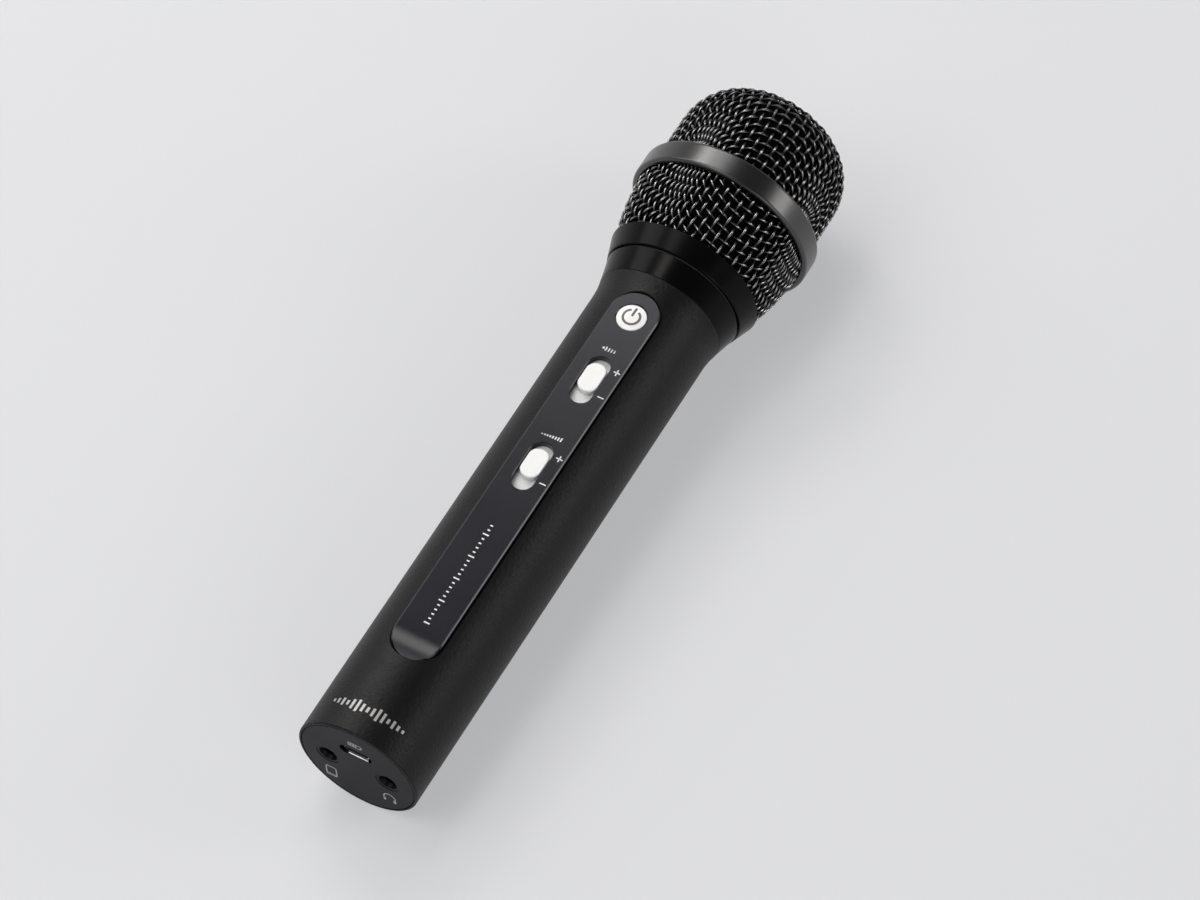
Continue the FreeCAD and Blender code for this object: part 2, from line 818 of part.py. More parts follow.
def make_neck_ring():
    """Glossy collar with a snap spigot below, a web across it and a male thread above."""
    spigot = S.barrel_length - S.spigot_length
    spigot_bore = nested - S.spigot_wall
    half_bead = S.snap_width / 2 - S.fit_clearance
    snap = S.barrel_length - S.snap_setback
    bead = bore + S.snap_depth - S.fit_clearance
    thread_end = ring_top - S.thread_lead
    thread_root = S.thread_radius - S.thread_depth
    inside = S.thread_radius - S.thread_wall
    turns = int((thread_end.value - ring_bottom.value) / S.thread_pitch.value) - 1
    corners = [
        (S.barrel_length, S.seam_radius - S.edge_break),
        (S.barrel_length + S.edge_break, S.seam_radius),
        (collar_top - S.edge_break, S.collar_radius), (collar_top, S.collar_radius - S.edge_break),
        (collar_top, thread_root)]
    first = ring_bottom + S.thread_pitch / 2
    for turn in range(turns):
        start = first + S.thread_pitch * turn
        crest = start + S.thread_flank
        corners += [(start, thread_root), (crest, S.thread_radius),
                    (crest + S.thread_crest, S.thread_radius),
                    (crest + S.thread_crest + S.thread_flank, thread_root)]
    corners += [
        (thread_end, thread_root), (thread_end, inside), (web_top, inside), (web_top, S.web_hole),
        (S.barrel_length, S.web_hole), (S.barrel_length, spigot_bore), (spigot, spigot_bore),
        (spigot, nested), (snap - half_bead, nested), (snap, bead), (snap + half_bead, nested),
        (S.barrel_length, nested)]
    body = turned("neck_ring", corners)
    holes = new_sketch(body, "YZ_Plane", S.barrel_length)
    for side in (-1, 1):
        circle(holes, S.lug_spread * side, -S.lug_drop, S.screw_hole)
    for y, z in post_screw_places():
        circle(holes, y, z, S.post_screw_radius + S.solder_gap)
    pocket(body, holes, S.web_thickness)


def post_screw_places():
    """Give the (y, z) places of the three screws round the capsule post's flange."""
    turns = [math.pi / 2 + 2 * math.pi * n / POST_SCREWS for n in range(POST_SCREWS)]
    return [(S.post_screw_circle * math.cos(turn), S.post_screw_circle * math.sin(turn))
            for turn in turns]


def cut_window_row(body, x0, x1, radius):
    """Cut one row of windows round a grille, with a bar left between neighbours."""
    half = (radius * (2 * math.pi / WINDOWS_ROUND) - S.mesh_bar) / 2
    sketch = new_sketch(body, "XY_Plane")
    outline(sketch, [(x0, -half), (x1, -half), (x1, half), (x0, half)])
    repeat_round(body, pocket(body, sketch, S.band_radius), WINDOWS_ROUND)


def cut_dome_windows(body):
    """Cut the dome's main openings: rows round its wall and shoulder, and a square grid on top."""
    window = S.mesh_pitch - S.mesh_bar
    for row in range(DOME_WALL_ROWS):
        low = band_top + S.mesh_bar + S.mesh_pitch * row
        cut_window_row(body, low, low + window, dome_radius)
    for row in range(DOME_SHOULDER_ROWS):
        turns = [(S.mesh_pitch.value * row + rise) / S.dome_shoulder.value
                 for rise in (0, window.value)]
        low, high = (dome_spring + S.dome_shoulder * math.sin(turn) for turn in turns)
        side = dome_radius - S.dome_shoulder * (1 - math.cos(turns[1]))
        cut_window_row(body, low, high, side)
    sketch = new_sketch(body, "YZ_Plane")
    for across, up in itertools.product(range(-2, 3), repeat=2):
        if abs(across * up) < 4:
            y, z = (S.mesh_pitch * step - window / 2 for step in (across, up))
            outline(sketch, [(y, z), (y + window, z), (y + window, z + window), (y, z + window)])
    pocket(body, sketch)


def cut_basket_windows(body):
    """Cut the lower basket's main openings in rows round its wall."""
    pitch = (band_bottom - ring_top - S.mesh_bar) / BASKET_ROWS
    for row in range(BASKET_ROWS):
        low = ring_top + S.mesh_bar + pitch * row
        cut_window_row(body, low, low + pitch - S.mesh_bar, basket_at(low, 0))


def make_head():
    """Head ring, the two grilles as open shells, the band between them and the foam."""
    ring_bore = S.thread_radius + S.running_clearance
    seat = ring_top - S.rim_seat
    wall = S.grille_wall
    gap = S.solder_gap
    turned("neck_gasket", [
        (collar_top, S.thread_radius + gap), (collar_top, S.thread_radius + gap + S.gasket_width),
        (ring_bottom, S.thread_radius + gap + S.gasket_width), (ring_bottom, S.thread_radius + gap)])
    turned("head_ring", [
        (ring_bottom, ring_bore), (ring_bottom, S.ring_low_radius - S.edge_break),
        (ring_bottom + S.edge_break, S.ring_low_radius),
        (ring_top - S.edge_break, S.ring_high_radius), (ring_top, S.ring_high_radius - S.edge_break),
        (ring_top, basket_at(seat, 0) + gap), (seat, basket_at(seat, 0) + gap),
        (seat, basket_at(seat, wall) - gap), (ring_top, basket_at(seat, wall) - gap),
        (ring_top, ring_bore)])
    basket = turned("lower_grille", [
        (seat, basket_at(seat, wall)), (seat, basket_at(seat, 0)),
        (ring_top, basket_at(seat, 0)), (rib_bottom, basket_radius, -basket_bulge),
        (rib_bottom, basket_radius - wall), (ring_top, basket_at(seat, wall), basket_bulge)])
    cut_basket_windows(basket)
    band_bore = basket_radius + gap
    lip = dome_radius + gap
    turned("grille_band", [
        (band_bottom, band_bore), (band_bottom, S.band_radius - S.band_round),
        (band_bottom + S.band_round, S.band_radius, -S.band_round),
        (band_top - S.band_round, S.band_radius),
        (band_top, S.band_radius - S.band_round, -S.band_round),
        (band_top, lip), (band_top - S.band_lip, lip), (band_top - S.band_lip, band_bore),
        (rib_top, band_bore), (rib_top, band_bore - S.rib_depth),
        (rib_bottom, band_bore - S.rib_depth), (rib_bottom, band_bore)])
    dome = turned("upper_grille",
                  dome_from(rib_top, 0) + dome_from(rib_top, wall, forward=False))
    cut_dome_windows(dome)
    foam = wall + S.soft_clearance
    low = rib_top + S.soft_clearance
    turned("dome_foam",
           dome_from(low, foam) + dome_from(low, foam + S.foam_thickness, forward=False))
    bottom, top = ring_top + S.soft_clearance, rib_bottom - S.soft_clearance
    turned("basket_foam", [
        (bottom, basket_at(seat, foam) - S.foam_thickness), (bottom, basket_at(seat, foam)),
        (top, basket_at(top, foam) - S.soft_clearance),
        (top, basket_at(top, foam) - S.soft_clearance - S.foam_thickness)])


def make_capsule_group():
    """Post, rubber cradle, electret capsule with its felt and board, and the screened cable."""
    post_bore = S.post_radius - S.post_wall
    cup_radius = S.capsule_radius + S.cradle_wall + S.solder_gap * 2
    rim = cup_inside + S.cup_depth
    body = turned("capsule_post", [
        (web_top, post_bore), (web_top, S.post_flange_radius),
        (web_top + S.post_flange_thickness, S.post_flange_radius),
        (web_top + S.post_flange_thickness, S.post_radius), (cup_bottom, S.post_radius),
        (cup_bottom, cup_radius + S.cup_wall), (rim, cup_radius + S.cup_wall), (rim, cup_radius),
        (cup_inside, cup_radius), (cup_inside, post_bore)])
    holes = new_sketch(body, "YZ_Plane", web_top)
    for y, z in post_screw_places():
        circle(holes, y, z, S.post_screw_radius + S.solder_gap)
    pocket(body, holes, S.post_flange_thickness)
    inner = S.capsule_radius + S.solder_gap
    lip_radius = S.capsule_radius - S.cradle_lip - S.felt_inset
    turned("capsule_cradle", [
        (cup_inside, lip_radius), (cup_inside, inner + S.cradle_wall),
        (rim + S.cradle_stand, inner + S.cradle_wall), (rim + S.cradle_stand, inner),
        (capsule_back, inner), (capsule_back, lip_radius)])
    front = capsule_back + S.capsule_length
    felt_radius = S.capsule_radius - S.felt_inset
    turned("capsule", [
        (capsule_back, 0), (capsule_back, S.capsule_radius), (front, S.capsule_radius),
        (front, felt_radius), (front - S.felt_thickness, felt_radius), (front - S.felt_thickness, 0)])
    felt = rod(felt_radius - S.solder_gap, front - S.felt_thickness, front, "x")
    subpart(felt, "capsule_felt")
    board = rod(lip_radius - S.solder_gap, capsule_back - S.capsule_board_thickness, capsule_back, "x")
    subpart(board, "capsule_board")
    plug_face = main_board_head - S.main_board_gap
    plug = box(plug_face - S.plug_length, plug_face, -S.plug_width / 2, S.plug_width / 2,
               board_bottom - S.plug_height, board_bottom)
    subpart(plug, "capsule_plug")
    entry = board_bottom - S.plug_height / 2
    route = [vector(capsule_back - S.capsule_board_thickness, 0, 0), vector(S.barrel_length, 0, 0),
             vector(plug_face + S.cable_entry, 0, entry), vector(plug_face, 0, entry)]
    shaped("capsule_cable", tube_along(route, number(S.cable_radius), number(S.cable_bend)))


# ---------------------------------------------------------------- chassis and boards

def make_chassis():
    """Half-round trough with board bosses, cell ribs and two lugs for the neck screws."""
    tube = cut(rod(chassis_radius, chassis_tail, chassis_head, "x"),
               rod(trough_radius, chassis_tail, chassis_head, "x"),
               box(chassis_tail, chassis_head, -chassis_radius, chassis_radius,
                   board_bottom, chassis_radius))
    bosses = [rod(S.boss_radius, -chassis_radius, board_bottom, "z", place_of)
              for place_of in board_screw_places()]
    ribs = [box(x, x + S.rib_width, -chassis_radius, chassis_radius, -chassis_radius, -cell_drop)
            for x in (S.cell_tail + S.rib_setback,
                      S.cell_tail + S.cell_length - S.rib_setback - S.rib_width)]
    end_rib = box(chassis_head - S.lug_rib, chassis_head, -chassis_radius, chassis_radius,
                  -chassis_radius, -S.lug_drop)
    filling = common(fuse(*bosses, *ribs, end_rib),
                     rod(chassis_radius, chassis_tail, chassis_head, "x"))
    lugs = [rod(S.boss_radius, chassis_head - S.screw_length, S.barrel_length, "x",
                (S.lug_spread * side, -S.lug_drop)) for side in (-1, 1)]
    holes = [rod(S.screw_hole, board_bottom - S.screw_length, board_bottom, "z", place_of)
             for place_of in board_screw_places()]
    holes += [rod(S.screw_hole, S.barrel_length - S.screw_length, S.barrel_length, "x",
                  (S.lug_spread * side, -S.lug_drop)) for side in (-1, 1)]
    cell_seat = rod(S.cell_radius + S.fit_clearance, S.cell_tail, S.cell_tail + S.cell_length,
                    "x", (0, -cell_drop))
    subpart(cut(fuse(tube, filling, *lugs), cell_seat, *holes), "chassis")


def board_screw_places():
    """Give the (x, y) places of the screws in both boards."""
    stations = (S.io_board_head - S.io_boss_setback, main_board_tail + S.main_boss_setback,
                main_board_head - S.main_boss_setback)
    return [(x, S.boss_spread * side) for x in stations for side in (-1, 1)]


def screw_up(x, y):
    """Make a pan-head screw driven down into a boss at (x, y)."""
    head = rod(S.screw_head_radius, board_top, board_top + S.screw_head_height, "z", (x, y))
    depth = S.screw_length - S.screw_head_height
    return fuse(head, rod(S.screw_radius, board_bottom - depth, board_top, "z", (x, y)))


def screw_along(x, y, z, radius, head_radius, length):
    """Make a pan-head screw with its head standing on the face at x, driven towards the tail."""
    head = rod(head_radius, x, x + S.screw_head_height, "x", (y, z))
    return fuse(head, rod(radius, x - length, x, "x", (y, z)))


def make_boards():
    """Main board and socket board, both screwed down on the trough's rails."""
    holes = [rod(S.screw_hole, board_bottom, board_top, "z", spot) for spot in board_screw_places()]
    main = box(main_board_tail, main_board_head, -board_half, board_half, board_bottom, board_top)
    subpart(cut(main, *holes[2:]), "main_board")
    wide = box(chassis_tail + S.fit_clearance, S.io_board_head, -board_half, board_half,
               board_bottom, board_top)
    narrow = box(S.io_board_tail, chassis_tail + S.fit_clearance, -S.io_board_neck, S.io_board_neck,
                 board_bottom, board_top)
    subpart(cut(fuse(wide, narrow), *holes[:2]), "socket_board")
    group("board_screws", [screw_up(x, y) for x, y in board_screw_places()])
    group("chassis_screws", [
        screw_along(web_top, S.lug_spread * side, -S.lug_drop, S.screw_radius,
                    S.screw_head_radius, S.screw_length) for side in (-1, 1)])
    group("post_screws", [
        screw_along(web_top + S.post_flange_thickness, y, z, S.post_screw_radius,
                    S.post_screw_head, S.post_screw_length) for y, z in post_screw_places()])


def make_potentiometer(name, center, setting):
    """Slide potentiometer: base plate, steel cover with a slit, and the carriage with its lever."""
    half, side = S.pot_length / 2, S.pot_width / 2
    base_top = board_top + S.pot_base
    base = box(center - half, center + half, -side, side, board_top, base_top)
    subpart(base, f"{name}_pot_base")
    top = base_top + S.pot_height
    shell = box(center - half, center + half, -side, side, base_top, top)
    wall = S.pot_wall
    hollow = box(center - half + wall, center + half - wall, wall - side, side - wall,
                 base_top, top - wall)
    slit_x = S.lever_length / 2 + knob_travel + S.fit_clearance
    slit_y = S.lever_width / 2 + S.fit_clearance
    slit = box(center - slit_x, center + slit_x, -slit_y, slit_y, base_top, top)
    subpart(cut(shell, hollow, slit), f"{name}_pot_cover")
    here = center + setting
    low = base_top + S.slide_clearance
    inner = side - wall - S.slide_clearance
    carriage = box(here - S.carriage_length / 2, here + S.carriage_length / 2, -inner, inner,
                   low, low + S.carriage_height)
    lever = box(here - S.lever_length / 2, here + S.lever_length / 2,
                -S.lever_width / 2, S.lever_width / 2, low, apron_bottom - S.fit_clearance)
    subpart(fuse(carriage, lever), f"{name}_wiper")


def make_switch():
    """Push switch under the power button and the lamp that lights the button."""
    half = S.switch_width / 2
    top = board_top + S.switch_height
    low = top - S.plunger_depth
    case = box(button_center - half, button_center + half, -half, half, board_top, top)
    well = rod(S.plunger_radius + S.running_clearance, low - S.press_travel - S.fit_clearance, top,
               "z", (button_center, 0))
    subpart(cut(case, well), "push_switch")
    subpart(rod(S.plunger_radius, low, stem_bottom, "z", (button_center, 0)), "switch_plunger")
    lamp = button_center - half - S.led_length
    subpart(box(lamp, lamp + S.led_length, -S.led_width / 2, S.led_width / 2,
                board_top, board_top + S.led_height), "button_lamp")


def make_board_parts():
    """Chips, capacitors and small surface parts."""
    middle = (echo_center + volume_center) / 2
    half = S.chip_width / 2
    chip = box(middle - half, middle + half, -half, half, board_top, board_top + S.chip_height)
    subpart(chip, "effect_chip")
    amp = box(middle - S.amp_length / 2, middle + S.amp_length / 2,
              -S.can_spread - S.amp_width / 2, -S.can_spread + S.amp_width / 2,
              board_top, board_top + S.amp_height)
    subpart(amp, "amplifier_chip")
    charger = S.io_board_head - S.io_boss_setback - S.charger_setback
    subpart(box(charger, charger + S.charger_width, -S.charger_width / 2, S.charger_width / 2,
                board_top, board_top + S.charger_height), "charger_chip")
    stations = [(volume_center - S.can_spread, 1), (volume_center, -1), (echo_center, 1),
                (echo_center - S.can_spread, -1)]
    group("capacitors", [rod(S.can_radius, board_top, board_top + S.can_height, "z",
                             (x, S.can_spread * side)) for x, side in stations])
    beads = []
    for column in range(BEADS_IN_ROW):
        for side in (-1, 1):
            x = middle + S.bead_pitch * (column + 1)
            y = (S.can_spread + S.can_radius + S.bead_width) * side
            beads.append(box(x, x + S.bead_length, y - S.bead_width / 2, y + S.bead_width / 2,
                             board_top, board_top + S.bead_height))
    group("small_components", beads)


def make_sockets():
    """Charging receptacle and the two audio sockets with their sleeves and contacts."""
    half, tall, chop = S.usb_width / 2, S.usb_height / 2, S.usb_corner
    body = new_body("usb_shell")
    for inset, shape in ((0, "outer"), (S.usb_wall, "inner")):
        sketch = new_sketch(body, "YZ_Plane", S.usb_recess)
        right, low, high = half - inset, S.usb_rise - tall + inset, S.usb_rise + tall - inset
        outline(sketch, [(-right + chop, low), (right - chop, low), (right, low + chop),
                         (right, high), (-right, high), (-right, low + chop)])
        if shape == "outer":
            pad(body, sketch, S.usb_depth)
        else:
            pocket(body, sketch, S.usb_depth)
    back = S.usb_recess + S.usb_depth
    inner = half - S.usb_wall - chop
    block = box(back - S.tongue_base, back, -inner, inner,
                S.usb_rise - tall + S.usb_wall, S.usb_rise + tall - S.usb_wall)
    tongue = box(S.usb_recess + S.tongue_setback, back, -S.tongue_width / 2, S.tongue_width / 2,
                 S.usb_rise, S.usb_rise + S.tongue_height)
    subpart(fuse(block, tongue), "usb_tongue")
    mouth = S.jack_mouth_depth
    bore_end = mouth + S.jack_bore_length
    back = bore_end + S.jack_back
    front = S.plate_thickness + S.solder_gap
    for name, side in (("phone", 1), ("headphone", -1)):
        y, z = S.jack_spacing / 2 * side, -S.jack_drop
        case = box(front, back, y - S.jack_width / 2, y + S.jack_width / 2,
                   z - S.jack_under, board_bottom)
        nose = rod(S.jack_nose_radius, S.jack_recess, front, "x", (y, z))
        funnel = doc.addObject("Part::Cone", "cone")
        bind(funnel, "Radius1", S.jack_mouth_radius)
        bind(funnel, "Radius2", S.jack_bore_radius + S.sleeve_wall)
        bind(funnel, "Height", mouth - S.jack_recess)
        funnel.Placement.Rotation = FreeCAD.Rotation(FreeCAD.Vector(0, 1, 0), 90)
        place(funnel, S.jack_recess, y, z)
        hole = rod(S.jack_bore_radius, mouth, bore_end, "x", (y, z))
        counterbore = rod(S.jack_bore_radius + S.sleeve_wall, mouth, mouth + S.sleeve_length, "x", (y, z))
        subpart(cut(fuse(case, nose), funnel, hole, counterbore), f"{name}_jack")
        sleeve = cut(rod(S.jack_bore_radius + S.sleeve_wall, mouth, mouth + S.sleeve_length, "x", (y, z)),
                     rod(S.jack_bore_radius, mouth, mouth + S.sleeve_length, "x", (y, z)))
        subpart(sleeve, f"{name}_jack_sleeve")
        outside = y - S.jack_width / 2 - S.contact_thickness
        contacts = [box(front + S.contact_pitch * (n + 0.5), front + S.contact_pitch * (n + 0.5)
                        + S.contact_width, outside, outside + S.contact_thickness, z, board_bottom)
                    for n in range(SOCKET_CONTACTS)]
        group(f"{name}_jack_contacts", contacts)


def make_power():
    """Lithium cell, its protection board, the two leads, and the ribbon between the boards."""
    head = S.cell_tail + S.cell_length
    can = rod(S.cell_radius, S.cell_tail, head, "x", (0, -cell_drop))
    nub = rod(S.cell_nub_radius, head, head + S.cell_nub_length, "x", (0, -cell_drop))
    subpart(fuse(can, nub), "battery")
    board_tail = S.cell_tail - S.cell_board_thickness
    subpart(rod(S.cell_radius - S.fit_clearance, board_tail, S.cell_tail, "x", (0, -cell_drop)),
            "battery_board")
    plug_head = S.io_board_head - S.clip_length / 2
    plug_tail = plug_head - S.plug_length
    floor = board_bottom - S.plug_height
    subpart(box(plug_tail, plug_head, -S.plug_width / 2, S.plug_width / 2, floor, board_bottom),
            "battery_plug")
    turn = (plug_head + plug_tail) / 2
    for name, side in (("plus", 1), ("minus", -1)):
        y = S.wire_spread * side
        route = [vector(board_tail, y, -cell_drop), vector(turn, y, -cell_drop),
                 vector(turn, y, floor)]
        shaped(f"battery_lead_{name}", tube_along(route, number(S.wire_radius), number(S.wire_bend)))
    tail, lead = S.io_board_head - S.ribbon_overlap, main_board_tail + S.ribbon_overlap
    half = S.ribbon_width / 2
    middle = board_top + S.clip_height / 2
    lift = S.ribbon_thickness / 2
    ribbon = box(tail + S.clip_length, lead - S.clip_length, -half, half, middle - lift, middle + lift)
    subpart(ribbon, "link_ribbon")
    group("ribbon_clips", [
        box(x, x + S.clip_length, -half - S.rib_width, half + S.rib_width,
            board_top, board_top + S.clip_height) for x in (tail, lead - S.clip_length)])


def check_document():
    """Stop if any object failed or any sub-part has no sound shape."""
    doc.recompute()
    for item in doc.Objects:
        if "Invalid" in item.State or "Error" in item.State:
            raise RuntimeError(f"{item.Name} ({item.Label}) failed: {item.State}")
    for item in subparts:
        if item.Shape.isNull() or not item.Shape.isValid() or not item.Shape.Solids:
            raise RuntimeError(f"{item.Label} has no sound shape")


make_barrel()
make_tail_plate()
make_control_panel()
make_power_button()
make_knob("echo_knob", echo_center, S.echo_setting)
make_knob("volume_knob", volume_center, S.volume_setting)
make_neck_ring()
make_head()
make_capsule_group()
make_chassis()
make_boards()
make_potentiometer("echo", echo_center, S.echo_setting)
make_potentiometer("volume", volume_center, S.volume_setting)
make_switch()
make_board_parts()
make_sockets()
make_power()
check_document()

os.makedirs("parts", exist_ok=True)
for item in subparts:
    item.Shape.exportStep(f"parts/{item.Label}.step")
    print(f"{item.Label}: {len(item.Shape.Solids)} solid(s), {item.Shape.Volume:.1f} mm3")
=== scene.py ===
import json
import math

import bmesh
import bpy
import numpy as np
from bpy.props import FloatProperty, FloatVectorProperty, IntProperty, PointerProperty
from mathutils import Matrix, Vector, noise


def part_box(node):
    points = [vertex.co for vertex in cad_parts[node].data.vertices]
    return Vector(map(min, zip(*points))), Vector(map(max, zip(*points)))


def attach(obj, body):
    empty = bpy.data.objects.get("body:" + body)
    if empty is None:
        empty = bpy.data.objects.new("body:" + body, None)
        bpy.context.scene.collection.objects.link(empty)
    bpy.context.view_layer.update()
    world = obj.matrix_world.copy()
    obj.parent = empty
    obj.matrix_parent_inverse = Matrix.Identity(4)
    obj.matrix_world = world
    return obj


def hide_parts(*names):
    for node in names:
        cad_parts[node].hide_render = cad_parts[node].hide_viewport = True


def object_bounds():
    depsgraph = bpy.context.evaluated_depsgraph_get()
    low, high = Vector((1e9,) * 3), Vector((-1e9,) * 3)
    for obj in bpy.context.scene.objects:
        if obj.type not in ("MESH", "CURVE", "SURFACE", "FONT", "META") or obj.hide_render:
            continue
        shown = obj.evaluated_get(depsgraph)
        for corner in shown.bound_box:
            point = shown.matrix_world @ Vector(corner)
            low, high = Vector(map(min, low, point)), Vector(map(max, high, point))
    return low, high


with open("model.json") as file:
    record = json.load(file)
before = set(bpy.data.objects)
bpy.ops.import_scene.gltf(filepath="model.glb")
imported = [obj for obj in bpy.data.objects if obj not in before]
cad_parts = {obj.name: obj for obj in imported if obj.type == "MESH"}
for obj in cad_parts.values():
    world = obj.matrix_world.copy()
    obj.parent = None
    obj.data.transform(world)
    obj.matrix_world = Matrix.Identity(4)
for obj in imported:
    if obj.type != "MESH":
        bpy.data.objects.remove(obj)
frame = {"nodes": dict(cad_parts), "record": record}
CAD_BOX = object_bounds()

bl_info = {
    "name": "Hand-held microphone",
    "version": (1, 0, 0),
    "blender": (4, 5, 0),
    "location": "3D View > Sidebar > Microphone",
    "description": "Woven grilles, foam, printed marks and finishes for a microphone's CAD frame",
    "category": "Object",
}

MM = 0.001


def length(name, text, default):
    """A property that holds a length."""
    return FloatProperty(name=name, description=text, default=default, min=0.0,
                         precision=6, unit="LENGTH")


def angle(name, text, degrees):
    """A property that holds an angle."""
    return FloatProperty(name=name, description=text, default=math.radians(degrees),
                         subtype="ANGLE")


def colour(name, text, default):
    """A property that holds a plain colour."""
    return FloatVectorProperty(name=name, description=text, default=default, size=3,
                               min=0.0, max=1.0, subtype="COLOR")


class ClothSizes(bpy.types.PropertyGroup):
    """Sizes of the woven wire cloth and of the forms that it is drawn over."""

    pitch: length("Pitch", "Distance between neighbouring wires of the flat cloth", 2.75 * MM)
    wire_radius: length("Wire radius", "Radius of one round wire", 0.35 * MM)
    crimp: length("Crimp", "How far a wire swings to each side of the cloth's middle", 0.36 * MM)
    depth: length("Depth", "The cloth's middle below the grille's outer face", 0.72 * MM)
    shoulder: length("Shoulder radius", "Bend from the dome's wall to its crown", 15.5 * MM)
    crown: length("Crown radius", "Bend of the dome's nearly flat crown", 60.0 * MM)
    foot: length("Foot radius", "Lower basket's radius where it leaves the head ring", 21.9 * MM)
    dome_rim: length("Dome rim", "How far the dome's wires stop short of its edge", 0.4 * MM)
    basket_rim: length("Basket rim", "How far the basket's wires stop short of its edges", 0.3 * MM)
    ease: FloatProperty(name="Ease", default=0.2, min=0.0, max=1.0,
                        description="Share of the cells' shear that the cloth takes up")
    sides: IntProperty(name="Wire sides", description="Faces round one wire", default=6, min=3)
    steps: IntProperty(name="Steps", description="Points on a wire from one crossing to the next",
                       default=5, min=2)
    dome_turn: angle("Dome turn", "Turn of the dome's cloth about its axis", 22)
    basket_turn: angle("Basket turn", "Turn of the basket's cloth about its axis", 29)


class FoamSizes(bpy.types.PropertyGroup):
    """Sizes of the foam liners behind the cloth."""

    grain: length("Grain depth", "How deep the foam's open cells dent its skin", 0.18 * MM)
    cell: length("Cell size", "Width of the foam's larger cells", 1.4 * MM)
    thick: length("Thickness", "Thickness of the dome's liner", 3.6 * MM)
    slack: length("Slack", "How much thinner the basket's liner is", 0.4 * MM)


class MarkSizes(bpy.types.PropertyGroup):
    """Sizes of the printed marks."""

    stroke: length("Stroke", "Width of a fine printed line", 0.34 * MM)
    bold: length("Bold stroke", "Width of the power sign's line", 0.66 * MM)
    proud: length("Proud", "How far the ink stands on its surface", 0.02 * MM)
    sunk: length("Sunk", "How far a mark reaches below its surface", 0.03 * MM)
    ticks: IntProperty(name="Ticks", description="Number of ticks in the long scale",
                       default=23, min=2)
    tick_step: length("Tick step", "Distance between ticks of the long scale", 1.5 * MM)
    emblem_step: length("Bar step", "Distance between the bars printed round the barrel", 1.52 * MM)


class Colours(bpy.types.PropertyGroup):
    """Colours that set the microphone's look."""

    barrel: colour("Barrel", "Soft-touch shell of the handle", (0.0036, 0.0032, 0.0034))
    panel: colour("Panel", "Control panel", (0.0042, 0.0046, 0.0092))
    plate: colour("Tail plate", "End plate with the sockets", (0.0026, 0.0025, 0.005))
    button: colour("Button", "Power button and slider caps", (0.82, 0.82, 0.82))
    collar: colour("Collar", "Glossy neck collar and head ring", (0.0015, 0.0014, 0.0016))
    wire: colour("Wire", "Black coat of the grilles' wires", (0.02, 0.0197, 0.02))
    # painted highlight: the pale colour that the wires' tops take where they pass over another
    # wire, standing in for their glints
    worn: colour("Painted wire highlight", "The wires' polished tops", (0.34, 0.337, 0.334))
    foam: colour("Foam", "Liners behind the cloth", (0.004, 0.004, 0.0042))
    band: colour("Band", "Metal band between the grilles", (0.0045, 0.0042, 0.005))
    white_ink: colour("White ink", "Marks on the panel", (0.78, 0.78, 0.78))
    silver_ink: colour("Silver ink", "Bars printed round the barrel", (0.42, 0.41, 0.41))
    grey_ink: colour("Grey ink", "Power sign on the button", (0.115, 0.1, 0.092))
    floor: colour("Floor", "Studio floor", (0.72, 0.725, 0.74))


# ------------------------------------------------------------------ finishes

def add_node(tree, kind, settings=None, inputs=None):
    """Add a node: its settings first, then the values or links of its sockets."""
    item = tree.nodes.new(kind)
    for key, value in (settings or {}).items():
        setattr(item, key, value)
    for key, value in (inputs or {}).items():
        if isinstance(value, Signal):
            value = value.socket
        if isinstance(value, bpy.types.NodeSocket):
            tree.links.new(value, item.inputs[key])
        else:
            item.inputs[key].default_value = value
    return item


class Signal:
    """A shader socket that plain arithmetic works on."""

    def __init__(self, finish, socket):
        self.finish, self.socket = finish, socket

    def work(self, operation, other):
        return self.finish.node("ShaderNodeMath", {"operation": operation}, {0: self, 1: other})

    def __add__(self, other):
        return self.work("ADD", other)

    def __sub__(self, other):
        return self.work("SUBTRACT", other)

    def __mul__(self, other):
        return self.work("MULTIPLY", other)

    def __pow__(self, other):
        return self.work("POWER", other)

    __radd__ = __add__


